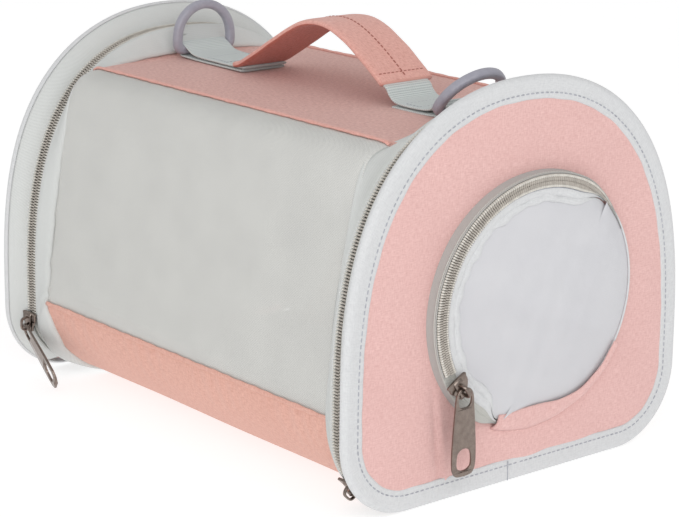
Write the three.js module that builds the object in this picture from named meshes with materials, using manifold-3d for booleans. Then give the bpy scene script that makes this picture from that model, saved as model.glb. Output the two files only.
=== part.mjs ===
// Soft pet carrier bag: a fabric and mesh tunnel between two arched end doors, each held by an arched zip.
// Millimetres, +Z up, +X towards the end with the round window; the bag stands on its floor at z = 0.
import * as THREE from 'three';
import Module from 'manifold-3d';

const wasm = await Module();
wasm.setup();

// ---- driving dimensions ----
const END_H = 164;        // height of the end panels
const ORIGIN_X = 5.7;     // the origin is midway between the rear binding and the window slider's lug
const PANEL = { w: 90, z0: 1.2, top: END_H, rb: 32, zs: 38, n: 2.9, n2: 2.17 };   // end panel outline
const FRAME = { w: 82.5, z0: 5, top: 154, rb: 27, zs: 38, n: 2.7, n2: 2.4 };      // tunnel outline at its wire frames
// tunnel outline at mid length: a boxed crown with sides that lean in
const WAIST = { w: 82.5, z0: 0, top: 142.5, rb: 44, zs: 46, n: 2.7, n2: 2.4, box: 16, lean: 0.18 };
const TAUT_X = 100;         // distance from mid length where the cloth lies on the wire's outline
const SPAN = 97.2;          // half length of the tunnel's cloth
const SKIN = 1.2;           // cloth thickness
const BAND_Z = 38.5;        // top of the lower pink band
const SEAM_S = 14.9;        // outline station of the seam between mesh and top panel
const ZIP_X = 109;          // centre line of each end zip
const WIN = { y: 6, z: 75, r: 53 };             // round window: centre and rim radius
const ZIP_A0 = 52, ZIP_A1 = 204;                // window coil, degrees round the window
const SLIDER_A = 212;                           // window slider at rest, degrees
const CHORD_A = -32.5, CHORD_D = 11.5;          // fold line of the window flap: direction and distance from centre
const RING_Z = 146.9, RING_WIRE = 2.1, RING_HALF = 14.6, RING_LEG = 5;
const REAR_RING_X = -90, FRONT_RING_X = 84.5, FRONT_RING_LEAN = 40;
const GRIP_W = 28, GRIP_T = 2.6, WEB_W = 24, WEB_T = 1.3;
const SEG = { bottom: 2, corner: 5, side: 1, top: 12 };
const HALF_N = SEG.bottom + SEG.corner + SEG.side + SEG.top, LOOP_N = 2 * HALF_N;
const RAD = Math.PI / 180;

// ---- outlines: station 0 is the bottom centre, rising along -Y, HALF_N the top centre, then down +Y ----
function halfPoint(f, off, s) {
  const w = f.w - off, r = Math.max(f.rb - off, 1), z0 = f.z0 + off, top = f.top - off;
  let q = s;
  if (q <= SEG.bottom) return [(w - r) * q / SEG.bottom, z0];
  q -= SEG.bottom;
  if (q <= SEG.corner) {
    const a = q / SEG.corner * Math.PI / 2;
    return [w - r + r * Math.sin(a), z0 + r - r * Math.cos(a)];
  }
  q -= SEG.corner;
  if (q <= SEG.side) return [w, z0 + r + (f.zs - z0 - r) * q / SEG.side];
  q = Math.min(q - SEG.side, SEG.top) / SEG.top;
  const a = q * Math.PI / 2;
  let wide = Math.pow(Math.max(Math.cos(a), 0), 2 / f.n2), high = Math.pow(Math.sin(a), 2 / f.n);
  if (f.box) {
    const push = Math.pow(Math.pow(wide, f.box) + Math.pow(high, f.box), -1 / f.box);
    high *= push;
    wide *= push * (1 - f.lean * high);
  }
  return [w * wide, f.zs + (top - f.zs) * high];
}
function rim(f, off, s) {
  if (s <= HALF_N) { const [y, z] = halfPoint(f, off, s); return [-y, z]; }
  return halfPoint(f, off, LOOP_N - s);
}
function mix(a, b, t) { return a.map((v, i) => v + (b[i] - v) * t); }
// outline of the tunnel at a distance x from mid length: slack at the waist, taut at the frames
function tunnel(x, off, s) {
  const t = Math.pow(Math.min(Math.abs(x) / TAUT_X, 1), 60);
  return mix(rim(WAIST, off, s), rim(FRAME, off, s), t);
}

// ---- solids ----
function solid(points, faces) {
  let vol = 0;
  for (const [a, b, c] of faces) {
    const A = points[a], B = points[b], C = points[c];
    vol += A[0] * (B[1] * C[2] - B[2] * C[1]) - A[1] * (B[0] * C[2] - B[2] * C[0]) + A[2] * (B[0] * C[1] - B[1] * C[0]);
  }
  const g = new THREE.BufferGeometry();
  g.setAttribute('position', new THREE.Float32BufferAttribute(points.flat(), 3));
  g.setIndex((vol < 0 ? faces.map(([a, b, c]) => [a, c, b]) : faces).flat());
  g.computeVertexNormals();
  return g;
}
function orient(F, n, m, closed) {
  if (closed) return F;
  // caps and walls must agree: compare one wall edge with the first cap
  const walls = F.slice(0, 2 * n * (m - 1)), caps = F.slice(2 * n * (m - 1));
  const edges = new Set(walls.flatMap(([a, b, c]) => [`${a}_${b}`, `${b}_${c}`, `${c}_${a}`]));
  const clash = caps.some(([a, b, c]) => edges.has(`${a}_${b}`) || edges.has(`${b}_${c}`) || edges.has(`${c}_${a}`));
  return clash ? walls.concat(caps.map(([a, b, c]) => [a, c, b])) : F;
}
function stations(s0, s1, step = 1) {
  const out = [s0];
  for (let s = Math.floor(s0 / step + 1e-6) * step + step; s < s1 - 1e-6; s += step) out.push(s);
  out.push(s1);
  return out;
}
// a strip that follows the outlines: section rows are [x, outline, offset]
function hoopStrip(section, side, s0 = 0, s1 = LOOP_N) {
  const closed = s0 === 0 && s1 === LOOP_N;
  const list = closed ? [...Array(LOOP_N).keys()] : stations(s0, s1);
  const flat = section.map(([x, f, off]) => [x, -(f === PANEL ? off - 8 : off)]);
  const n = section.length, P = [], m = list.length;
  for (const s of list) for (const [x, f, off] of section) { const [y, z] = rim(f, off, s); P.push([side * x, y, z]); }
  return loft(P, n, m, closed, flat);
}
function loft(P, n, m, closed, flat) {
  const F = [];
  for (let i = 0; i < (closed ? m : m - 1); i++) for (let k = 0; k < n; k++) {
    const a = i * n + k, b = i * n + (k + 1) % n, c = ((i + 1) % m) * n + (k + 1) % n, d = ((i + 1) % m) * n + k;
    F.push([a, b, c], [a, c, d]);
  }
  if (!closed) for (const [a, b, c] of THREE.ShapeUtils.triangulateShape(flat.map(q => new THREE.Vector2(...q)), [])) {
    F.push([a, b, c], [a + (m - 1) * n, b + (m - 1) * n, c + (m - 1) * n].reverse());
  }
  return solid(P, orient(F, n, m, closed));
}
// a sheet with thickness: place(u, v, k) gives both faces, k = 0 outer and 1 inner
function sheet(us, vs, place) {
  const P = [], F = [], nu = us.length, nv = vs.length;
  for (const k of [0, 1]) for (const u of us) for (const v of vs) P.push(place(u, v, k));
  const id = (k, i, j) => k * nu * nv + i * nv + j;
  const quad = (a, b, c, d) => F.push([a, b, c], [a, c, d]);
  for (let i = 0; i < nu - 1; i++) for (let j = 0; j < nv - 1; j++) {
    quad(id(0, i, j), id(0, i + 1, j), id(0, i + 1, j + 1), id(0, i, j + 1));
    quad(id(1, i, j), id(1, i, j + 1), id(1, i + 1, j + 1), id(1, i + 1, j));
  }
  for (let i = 0; i < nu - 1; i++) {
    quad(id(0, i, 0), id(1, i, 0), id(1, i + 1, 0), id(0, i + 1, 0));
    quad(id(0, i, nv - 1), id(0, i + 1, nv - 1), id(1, i + 1, nv - 1), id(1, i, nv - 1));
  }
  for (let j = 0; j < nv - 1; j++) {
    quad(id(0, 0, j), id(0, 0, j + 1), id(1, 0, j + 1), id(1, 0, j));
    quad(id(0, nu - 1, j), id(1, nu - 1, j), id(1, nu - 1, j + 1), id(0, nu - 1, j + 1));
  }
  return solid(P, F);
}
function ranged(a, b, n) { return Array.from({ length: n + 1 }, (_, i) => a + (b - a) * i / n); }
// flat plate in the YZ plane with holes, from x0 to x1
function plateX(outline, holes, x0, x1) {
  const shape = new THREE.Shape(outline.map(p => new THREE.Vector2(...p)));
  for (const h of holes) shape.holes.push(new THREE.Path(h.map(p => new THREE.Vector2(...p))));
  const g = new THREE.ExtrudeGeometry(shape, { depth: x1 - x0, bevelEnabled: false });
  g.applyMatrix4(new THREE.Matrix4().set(0, 0, 1, x0, 1, 0, 0, 0, 0, 1, 0, 0, 0, 0, 0, 1));
  return g;
}
function circle(cy, cz, r, n, a0 = 0, a1 = 360) {
  const turns = a1 - a0 >= 360 ? n : n + 1;
  return Array.from({ length: turns }, (_, i) => {
    const a = (a0 + (a1 - a0) * i / n) * RAD;
    return [cy + r * Math.cos(a), cz + r * Math.sin(a)];
  });
}
// strip turned about the window's axis: section rows are [x, radius]
function windowStrip(section, a0, a1, step = 8) {
  const n = Math.ceil((a1 - a0) / step), P = [];
  for (const a of ranged(a0, a1, n)) for (const [x, r] of section) {
    P.push([x, WIN.y + r * Math.cos(a * RAD), WIN.z + r * Math.sin(a * RAD)]);
  }
  return loft(P, section.length, n + 1, false, section);
}
function toManifold(g) {
  g.deleteAttribute('normal'); g.deleteAttribute('uv');
  const idx = g.index, pos = g.attributes.position, map = new Map(), vert = [], remap = [];
  for (let i = 0; i < pos.count; i++) {
    const key = [pos.getX(i), pos.getY(i), pos.getZ(i)].map(v => Math.round(v * 1e4)).join(',');
    if (!map.has(key)) { map.set(key, vert.length / 3); vert.push(pos.getX(i), pos.getY(i), pos.getZ(i)); }
    remap.push(map.get(key));
  }
  const tri = (idx ? [...idx.array] : [...Array(pos.count).keys()]).map(i => remap[i]);
  const keep = [];
  for (let i = 0; i < tri.length; i += 3) {
    if (tri[i] !== tri[i + 1] && tri[i + 1] !== tri[i + 2] && tri[i] !== tri[i + 2]) keep.push(tri[i], tri[i + 1], tri[i + 2]);
  }
  return new wasm.Manifold(new wasm.Mesh({ numProp: 3, vertProperties: new Float32Array(vert), triVerts: new Uint32Array(keep) }));
}
function fromManifold(m) {
  const mesh = m.getMesh(), g = new THREE.BufferGeometry();
  g.setAttribute('position', new THREE.Float32BufferAttribute(mesh.vertProperties, 3));
  g.setIndex([...mesh.triVerts]);
  g.computeVertexNormals();
  return g;
}
function union(...gs) { return fromManifold(gs.map(toManifold).reduce((a, b) => a.add(b))); }

// ---- tunnel ----
const LENGTHS = [-SPAN, -95, -92, -88, -80, -40, 0, 40, 80, 88, 92, 95, SPAN];
const SEAM_GAP = 0.05;      // stations left free between the net and its neighbours
// station on the near side where the cloth at a distance x reaches the top of the band
function bandStation(x) {
  for (let s = SEG.bottom; s < HALF_N; s += 0.02) if (tunnel(x, 0, s)[1] >= BAND_Z) return s;
  return HALF_N;
}
// a part of the tunnel between two seams, given as stations for every x
function tunnelPart(from, to, steps, off, t = SKIN) {
  return sheet(LENGTHS, ranged(0, 1, steps), (x, v, k) => {
    const s = from(x) + (to(x) - from(x)) * v;
    const [y, z] = tunnel(x, off + k * t, (s + LOOP_N) % LOOP_N);
    return [x, y, z];
  });
}
function bottomTray() { return tunnelPart(x => -bandStation(x), bandStation, 28, 0); }
function topPanel() { return tunnelPart(() => SEAM_S, () => LOOP_N - SEAM_S, 16, 0); }
function sideMesh(near) {
  const low = x => bandStation(x) + SEAM_GAP, high = SEAM_S - SEAM_GAP;
  if (near) return tunnelPart(low, () => high, 16, 0.2, 0.6);
  return tunnelPart(() => LOOP_N - high, x => LOOP_N - low(x), 16, 0.2, 0.6);
}
function baseBoard() { return new THREE.BoxGeometry(164, 94, 2.3).translate(0, 0, 3.6 + 1.15); }
function floorMat() {
  const us = ranged(-92, 92, 10), vs = ranged(-1, 1, 8);
  return sheet(us, vs, (x, v, k) => {
    const y = 52 * v;
    const puff = 1 - 0.75 * Math.pow(Math.abs(v), 6) - 0.6 * Math.pow(Math.abs(x) / 92, 12);
    return [x, y, k ? 6.4 + 0.35 * Math.pow(Math.abs(v), 8) : 7.4 + 6.6 * Math.max(puff, 0.05)];
  });
}
function facing(side) { return hoopStrip([[97.6, FRAME, 0], [106, FRAME, 0], [106, FRAME, 1.2], [97.6, FRAME, 1.2]], side); }
function wireFrame(side) {
  return hoopStrip(circle(101, 2.95, 1.2, 6).map(([x, off]) => [x, FRAME, off]), side);
}

// ---- end zips ----
const TAPE_END = 3;        // outline station where both zip tapes stop
function coil(side, onDoor, s0, s1) {
  const a = onDoor ? ZIP_X + 0.15 : ZIP_X - 2.6, b = onDoor ? ZIP_X + 2.6 : ZIP_X - 0.15;
  return hoopStrip([[a, FRAME, 1.1], [a, FRAME, -0.4], [a + 0.7, FRAME, -0.9], [b - 0.7, FRAME, -0.9], [b, FRAME, -0.4],
    [b, FRAME, 1.1]], side, s0, s1);
}
function tape(side, onDoor) {
  const a = onDoor ? ZIP_X + 0.15 : 103.2, b = onDoor ? 114.3 : ZIP_X - 0.15;
  return hoopStrip([[a, FRAME, 1.5], [b, FRAME, 1.5], [b, FRAME, 2.2], [a, FRAME, 2.2]], side, TAPE_END, LOOP_N - TAPE_END);
}
function gusset(side) {
  return hoopStrip([[112, FRAME, 0], [114.2, FRAME, 0], [117.6, PANEL, 1.8], [117.6, PANEL, 3.2], [114.6, FRAME, 1.2],
    [112, FRAME, 1.2]], side, 3.3, LOOP_N - 3.3);
}
function hingeStrip(side) {
  const P = [[106.4, 4.9], [115.8, 4.9], [115.8, 6.1], [106.4, 6.1]];
  return loft([-55, 55].flatMap(y => P.map(([x, z]) => [side * x, y, z])), 4, 2, false, P);
}

// ---- end doors ----
function outlinePoints(f, off) { return [...Array(LOOP_N).keys()].map(s => rim(f, off, s)); }
function endPanel(side, windowed) {
  const hole = windowed ? [circle(WIN.y, WIN.z, 50.5, 40)] : [];
  return mirrorX(plateX(outlinePoints(PANEL, 1.8), hole, 119.2, 120.2), side);
}
function endBoard(side, windowed) {
  const hole = windowed ? [circle(WIN.y, WIN.z, 51.5, 40)] : [];
  return mirrorX(plateX(outlinePoints(PANEL, 5.2), hole, 117.3, 118.9), side);
}
function mirrorX(g, side) {
  if (side > 0) return g;
  const h = g.index ? g.toNonIndexed() : g, p = h.attributes.position;
  for (let i = 0; i < p.count; i++) p.setX(i, -p.getX(i));
  for (let i = 0; i < p.count; i += 3) {
    const a = [p.getX(i), p.getY(i), p.getZ(i)];
    p.setXYZ(i, p.getX(i + 1), p.getY(i + 1), p.getZ(i + 1));
    p.setXYZ(i + 1, ...a);
  }
  h.computeVertexNormals();
  return h;
}
function binding(side) {
  return hoopStrip([[117.9, PANEL, 0.3], [118.6, PANEL, 0], [120.3, PANEL, 0], [121, PANEL, 0.8], [121, PANEL, 9],
    [120.5, PANEL, 9.4], [120.5, PANEL, 1.5], [117.9, PANEL, 1.5]], side);
}

// ---- round window on the front door ----
const polar = (r, a) => [WIN.y + r * Math.cos(a * RAD), WIN.z + r * Math.sin(a * RAD)];
function windowWall() {
  return windowStrip([[120.5, 53.6], [124.2, 52.6], [124.2, 51.8], [120.5, 52.6]], 34, 262);
}
function windowLip() {
  return windowStrip([[120.5, 54.4], [121.6, 54.2], [122.2, 53.2], [121.6, 52.4], [120.5, 52.4]], 263.5, 392.5);
}
function outerCoil() {
  return windowStrip([[124.5, 53.1], [126.2, 53.1], [126.7, 52.4], [126.7, 51.5], [126.2, 50.8], [124.5, 50.8]], ZIP_A0, ZIP_A1, 6);
}
function flapCoil() {
  return windowStrip([[124.5, 50.6], [126.2, 50.6], [126.7, 49.9], [126.7, 49], [126.2, 48.3], [124.5, 48.3]], ZIP_A0, ZIP_A1, 6);
}
function flapTape() {
  return windowStrip([[123.5, 50.6], [124.2, 50.6], [124.2, 44.6], [123.5, 44.6]], 48, ZIP_A1);
}
function flapPiping() {
  return windowStrip(circle(0, 0, 1.35, 6).map(([a, b]) => [124.4 + a, 42.95 + b]), 49, 249);
}
function flapMesh() {
  const half = Math.acos((CHORD_D - 0.4) / 41.3) / RAD;
  return plateX(circle(WIN.y, WIN.z, 41.3, 34, CHORD_A + half, CHORD_A + 360 - half), [], 123.6, 124.2);
}
// the part of the mesh beyond the fold line: sewn down to the panel round the lower right
function sewnMesh() {
  const n = [Math.cos(CHORD_A * RAD), Math.sin(CHORD_A * RAD)], d0 = CHORD_D + 0.4, R = 51.9;
  const half = Math.acos(d0 / R) / RAD;
  return sheet(ranged(-0.94, 0.94, 14), ranged(0, 1, 5), (u, v, k) => {
    const reach = Math.sqrt(R * R - d0 * d0) * u;
    const start = [WIN.y + n[0] * d0 - n[1] * reach, WIN.z + n[1] * d0 + n[0] * reach];
    const end = polar(R, CHORD_A + half * u);
    const [y, z] = mix(start, end, v);
    return [124.1 - 2.6 * v * v - 0.6 * k, y, z];
  });
}

// ---- sliders and pulls: drawn flat, then stood on the zip ----
function sliderShape() {
  const plate = new THREE.Shape([[-4.7, -4.5], [4.7, -4.5], [4.9, -0.8], [2.4, 2.4], [1.7, 4.4], [-1.7, 4.4], [-2.4, 2.4], [-4.9, -0.8]]
    .map(p => new THREE.Vector2(...p)));
  const base = new THREE.ExtrudeGeometry(plate, { depth: 1.2, bevelEnabled: false });
  const arch = new THREE.Shape([[-2.7, -0.3], [3.9, -0.3], [3.9, 3.2], [3, 4.2], [-1.6, 4.2], [-2.7, 3.2]]
    .map(p => new THREE.Vector2(...p)));
  arch.holes.push(new THREE.Path([[-1.6, 0], [-1.6, 3.3], [2.9, 3.3], [2.9, 0]].map(p => new THREE.Vector2(...p))));
  const lug = new THREE.ExtrudeGeometry(arch, { depth: 1.2, bevelEnabled: false });
  lug.applyMatrix4(new THREE.Matrix4().set(0, 0, 1, -0.6, 1, 0, 0, 0, 0, 1, 0, 1.2, 0, 0, 0, 1));
  return union(base, lug);
}
// squarish round eye of a pull tab
function eye(cx, cy, r) {
  return circle(0, 0, 1, 16).map(([a, b]) => {
    const k = r * Math.pow(Math.abs(a) ** 3 + Math.abs(b) ** 3, -1 / 3);
    return [cx + k * a, cy + k * b];
  });
}
// pull tab along +v from its eye rim at the origin
function pullShape(tip) {
  const out = [[-4.7, 4.2], [-4, 1.6], [-2.6, -0.2], [-1, -0.8], [1, -0.8], [2.6, -0.2], [4, 1.6], [4.7, 4.2],
    [6.2, tip - 5], [5.6, tip - 1.5], [3.4, tip], [-3.4, tip], [-5.6, tip - 1.5], [-6.2, tip - 5]];
  const shape = new THREE.Shape(out.map(p => new THREE.Vector2(...p)));
  shape.holes.push(new THREE.Path(eye(0, 3.9, 3.35).map(p => new THREE.Vector2(...p))));
  shape.holes.push(new THREE.Path([[0, tip - 12], [3.4, tip - 10.4], [3.8, tip - 4.6], [0, tip - 2.4], [-3.8, tip - 4.6],
    [-3.4, tip - 10.4]].map(p => new THREE.Vector2(...p))));
  return new THREE.ExtrudeGeometry(shape, { depth: 1, bevelEnabled: false }).translate(0, 0, -0.5);
}
// u across, v along, w away from the bag
function stand(g, origin, u, v) {
  const U = new THREE.Vector3(...u).normalize();
  const V = new THREE.Vector3(...v).addScaledVector(U, -U.dot(new THREE.Vector3(...v))).normalize();
  const Wd = new THREE.Vector3().crossVectors(U, V);
  return g.applyMatrix4(new THREE.Matrix4().makeBasis(U, V, Wd).setPosition(...origin));
}
const SL_A = SLIDER_A * RAD;
const slU = [0, -Math.cos(SL_A), -Math.sin(SL_A)], slV = [0, -Math.sin(SL_A), Math.cos(SL_A)];
function windowSlider() {
  const [y, z] = polar(50.6, SLIDER_A);
  return stand(sliderShape(), [127, y, z], slU.map(v => -v), slV);
}
function windowPull() {
  const [y, z] = polar(50.6, SLIDER_A);
  const at = [127 + 1.2 + 1.5, y + slV[1] * 0.3 + 0.4, z + slV[2] * 0.3 + 0.2];
  return stand(pullShape(35), at, [0, -1, 0], [0, 0, -1]);
}
const FR_A = 226 * RAD, FR_C = [-55.5, 32];
const frN = [0, Math.cos(FR_A), Math.sin(FR_A)], frT = [0, -Math.sin(FR_A), Math.cos(FR_A)];
function frontSlider() {
  const R = 28.25;
  return stand(sliderShape(), [ZIP_X, FR_C[0] + R * frN[1], FR_C[1] + R * frN[2]], [-1, 0, 0], frT);
}
function frontPull() {
  const R = 28.25 + 1.2 + 1.5;
  const at = [ZIP_X, FR_C[0] + R * frN[1] + frT[1] * 1.4, FR_C[1] + R * frN[2] + frT[2] * 1.4];
  const a = -15 * RAD;
  return stand(pullShape(31), at, [-1, 0, 0], [0, Math.cos(a), Math.sin(a)]);
}
const REAR_Z = 27.5, REAR_Y = -83.8;
function rearSlider() { return stand(sliderShape(), [-ZIP_X, REAR_Y, REAR_Z], [-1, 0, 0], [0, 0, -1]); }
function rearPull() {
  const tilt = 51 * RAD, roll = 20 * RAD;
  const v = [Math.sin(tilt), 0, -Math.cos(tilt)];
  const u = [Math.cos(roll) * Math.cos(tilt), -Math.sin(roll), Math.cos(roll) * Math.sin(tilt)];
  return stand(pullShape(33), [-ZIP_X - 1.3, REAR_Y - 2.65, REAR_Z - 2.2], u, v);
}

// ---- carrying handle and rings ----
function handlePath() {
  return [[-44.5, 147.3], [-40, 149.8], [-33, 153.6], [-24, 158.8], [-13, 165], [-4, 169.4], [4, 171.3], [13, 171.4],
    [22, 168.8], [32, 163.8], [41, 158.2], [49, 151.5]];
}
function strip(path, y, t) {
  const v = path.map(([x, z]) => new THREE.Vector2(x, z)), m = v.length, P = [];
  for (let i = 0; i < m; i++) {
    const d = v[Math.min(i + 1, m - 1)].clone().sub(v[Math.max(i - 1, 0)]).normalize();
    const n = [-d.y * t / 2, d.x * t / 2];
    for (const [s, e] of [[1, -y], [1, y], [-1, y], [-1, -y]]) P.push([v[i].x + s * n[0], e, v[i].y + s * n[1]]);
  }
  return loft(P, 4, m, false, [[0, 0], [1, 0], [1, 1], [0, 1]]);
}
function handleGrip() { return strip(handlePath(), GRIP_W / 2, GRIP_T); }
// webbing tab: flat on the top panel, then wrapped once round the ring's straight bar
function webTab(barX, dir, footX) {
  const r = RING_WIRE + 0.35 + WEB_T / 2, path = [[footX, 143.35], [barX - dir * 10, 143.4]];
  for (const a of ranged(-90, 165, 10)) path.push([barX + dir * r * Math.cos(a * RAD), RING_Z + r * Math.sin(a * RAD)]);
  return strip(path, WEB_W / 2, WEB_T);
}
function dRing(barX, leanDeg) {
  const pts = [[-RING_HALF, 0], [RING_HALF, 0], [RING_HALF, RING_LEG]];
  for (const a of ranged(0, 180, 10).slice(1, -1)) pts.push([RING_HALF * Math.cos(a * RAD), RING_LEG + RING_HALF * Math.sin(a * RAD)]);
  pts.push([-RING_HALF, RING_LEG]);
  const m = pts.length, P = [], lean = leanDeg * RAD;
  for (let i = 0; i < m; i++) {
    const a = new THREE.Vector2(...pts[(i + m - 1) % m]), b = new THREE.Vector2(...pts[i]), c = new THREE.Vector2(...pts[(i + 1) % m]);
    const t = c.clone().sub(b).normalize().add(b.clone().sub(a).normalize()).normalize();
    const k = 1 / Math.max(Math.cos(c.clone().sub(b).angle() - t.angle()), 0.6);
    for (const [p, q] of circle(0, 0, RING_WIRE, 6)) {
      const y = b.x + t.y * p * k, h = b.y - t.x * p * k;
      P.push([barX + q * Math.cos(lean) + h * Math.sin(lean), y, RING_Z + h * Math.cos(lean) - q * Math.sin(lean)]);
    }
  }
  return loft(P, 6, m, true);
}

// ---- the bag ----
const PINK = 0xdf9a90, GREY = 0xc9cbc9, NET = 0xd2d3d0, STEEL = 0x8c8580, LILAC = 0xa6a4b4, BOARD = 0x8d8f92, COIL = 0xb4b2ae;
const group = new THREE.Group();
function add(name, geometry, color) {
  const mesh = new THREE.Mesh(geometry, new THREE.MeshStandardMaterial({ color, roughness: 0.8 }));
  mesh.name = name;
  mesh.geometry.translate(-ORIGIN_X, 0, 0);
  group.add(mesh);
}
add('bottom_tray', bottomTray(), PINK);
add('base_board', baseBoard(), BOARD);
add('floor_mat', floorMat(), GREY);
add('side_mesh_near', sideMesh(true), NET);
add('side_mesh_far', sideMesh(false), NET);
add('top_panel', topPanel(), PINK);
for (const [end, side] of [['front', 1], ['rear', -1]]) {
  const windowed = side > 0, startAt = windowed ? 5.15 : SEG.bottom + SEG.corner;
  add(`${end}_facing`, facing(side), GREY);
  add(`${end}_wire_frame`, wireFrame(side), STEEL);
  add(`${end}_body_tape`, tape(side, false), GREY);
  add(`${end}_body_coil`, coil(side, false, startAt, LOOP_N - TAPE_END - 0.3), COIL);
  add(`${end}_hinge_strip`, hingeStrip(side), GREY);
  add(`${end}_panel`, endPanel(side, windowed), PINK);
  add(`${end}_board`, endBoard(side, windowed), BOARD);
  add(`${end}_binding`, binding(side), GREY);
  add(`${end}_gusset`, gusset(side), GREY);
  add(`${end}_door_tape`, tape(side, true), GREY);
  add(`${end}_door_coil`, coil(side, true, startAt, LOOP_N - TAPE_END - 0.3), COIL);
}
add('window_wall', windowWall(), GREY);
add('window_lip', windowLip(), PINK);
add('window_outer_coil', outerCoil(), COIL);
add('window_sewn_mesh', sewnMesh(), NET);
add('window_flap_mesh', flapMesh(), NET);
add('window_flap_piping', flapPiping(), GREY);
add('window_flap_tape', flapTape(), GREY);
add('window_flap_coil', flapCoil(), COIL);
add('window_slider', windowSlider(), STEEL);
add('window_pull', windowPull(), STEEL);
add('front_slider', frontSlider(), STEEL);
add('front_pull', frontPull(), STEEL);
add('rear_slider', rearSlider(), STEEL);
add('rear_pull', rearPull(), STEEL);
add('handle_grip', handleGrip(), PINK);
add('rear_webbing', webTab(REAR_RING_X, -1, -49.5), GREY);
add('front_webbing', webTab(FRONT_RING_X, 1, 54.5), GREY);
add('rear_d_ring', dRing(REAR_RING_X, 0), LILAC);
add('front_d_ring', dRing(FRONT_RING_X, FRONT_RING_LEAN), LILAC);
export default group;
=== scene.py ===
# %% [markdown]
# # A soft pet carrier
# The bag is a tunnel of cloth and net between two stiff arched doors. Every surface here is worked out
# from a few outlines, so that neighbouring pieces of cloth meet along the same seam. This first step
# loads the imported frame: all later sizes and places are millimetres in that frame, and one helper turns
# them into Blender's metres.

import bmesh
import bpy
import math
import numpy as np
from mathutils import Matrix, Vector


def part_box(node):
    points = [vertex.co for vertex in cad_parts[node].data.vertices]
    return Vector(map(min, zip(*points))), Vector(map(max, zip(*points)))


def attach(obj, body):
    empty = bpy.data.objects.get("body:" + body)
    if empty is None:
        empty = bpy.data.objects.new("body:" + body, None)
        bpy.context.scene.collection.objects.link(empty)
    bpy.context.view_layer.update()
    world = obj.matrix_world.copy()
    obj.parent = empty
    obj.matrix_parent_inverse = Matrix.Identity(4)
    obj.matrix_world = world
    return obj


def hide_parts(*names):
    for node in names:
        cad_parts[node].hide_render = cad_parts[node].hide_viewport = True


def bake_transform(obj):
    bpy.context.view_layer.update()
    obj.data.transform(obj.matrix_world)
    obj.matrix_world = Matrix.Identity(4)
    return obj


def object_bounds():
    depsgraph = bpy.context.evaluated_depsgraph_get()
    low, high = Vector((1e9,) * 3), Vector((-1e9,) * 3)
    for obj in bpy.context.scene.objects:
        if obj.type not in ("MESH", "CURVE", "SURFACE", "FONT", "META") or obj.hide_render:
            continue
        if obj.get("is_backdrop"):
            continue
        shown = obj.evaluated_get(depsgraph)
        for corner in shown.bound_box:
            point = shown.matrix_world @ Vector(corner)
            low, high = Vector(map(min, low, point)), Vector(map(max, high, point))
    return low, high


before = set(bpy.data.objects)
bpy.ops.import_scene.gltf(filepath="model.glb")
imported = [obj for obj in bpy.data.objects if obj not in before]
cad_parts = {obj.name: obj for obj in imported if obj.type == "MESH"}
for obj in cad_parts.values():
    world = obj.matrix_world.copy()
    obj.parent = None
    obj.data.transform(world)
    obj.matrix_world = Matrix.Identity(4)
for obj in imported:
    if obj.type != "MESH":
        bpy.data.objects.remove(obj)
cad_low, cad_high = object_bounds()
MM = 0.001
front_edge, rear_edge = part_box("front_binding")[1].x / MM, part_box("rear_binding")[0].x / MM
MIDDLE_X = (front_edge + rear_edge) / 2      # middle of the two end faces, in the frame
END_X = (front_edge - rear_edge) / 2         # half the length over the bindings
CROWN_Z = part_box("front_binding")[1].z / MM
HALF_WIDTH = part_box("front_binding")[1].y / MM
print(f"bag: {2 * END_X:.1f} mm long, {2 * HALF_WIDTH:.1f} mm wide, {CROWN_Z:.1f} mm to the crown of an end")

# %% [markdown]
# ## The camera
# The camera stands to the right of the front door and a little above the bag. A long lens keeps the far
# end of the bag nearly as large as the near end. Its place is given by an azimuth, an elevation and a
# distance.

# %% Camera
CAMERA_AZIMUTH, CAMERA_ELEVATION, CAMERA_ROLL = 50.55, 15.05, 0.51
CAMERA_DISTANCE, CAMERA_LENS, SENSOR = 960.7, 118.11, 36.0
CAMERA_SIDEWAYS, CAMERA_UPWARDS, AIM_Z = 5.0, -22.8, 90.0


def make_camera():
    """Back vector from azimuth and elevation; right and up are turned by the roll about it."""
    a, e, r = (math.radians(v) for v in (CAMERA_AZIMUTH, CAMERA_ELEVATION, CAMERA_ROLL))
    back = np.array([math.sin(a) * math.cos(e), -math.cos(a) * math.cos(e), math.sin(e)])
    flat_right = np.array([math.cos(a), math.sin(a), 0.0])
    flat_up = np.cross(back, flat_right)
    right = math.cos(r) * flat_right + math.sin(r) * flat_up
    up = math.cos(r) * flat_up - math.sin(r) * flat_right
    place = back * CAMERA_DISTANCE + right * CAMERA_SIDEWAYS + up * CAMERA_UPWARDS
    place = (place + [MIDDLE_X, 0, AIM_Z]) * MM
    camera = bpy.data.objects.new("camera", bpy.data.cameras.new("camera"))
    bpy.context.scene.collection.objects.link(camera)
    camera.data.sensor_width, camera.data.lens = SENSOR, CAMERA_LENS
    camera.data.clip_start, camera.data.clip_end = 0.05, 20
    camera.matrix_world = Matrix(np.column_stack([right, up, back, place]).tolist() + [[0, 0, 0, 1]])
    bpy.context.scene.camera = camera
    return camera


camera = make_camera()
print("camera at", [round(v, 3) for v in camera.location])

# %% [markdown]
# ## Outlines
# Three closed outlines give the bag its shape: the stiff end panel, the tunnel at its spring wire, and
# the tunnel at mid length, where the cloth sags between the wires. Each has a straight floor, a round
# lower corner, a short straight side and a superellipse crown. A station number says where on the outline
# a point is, and the same number means the same place on all three, so a strip of cloth can run from one
# outline to another.

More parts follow.
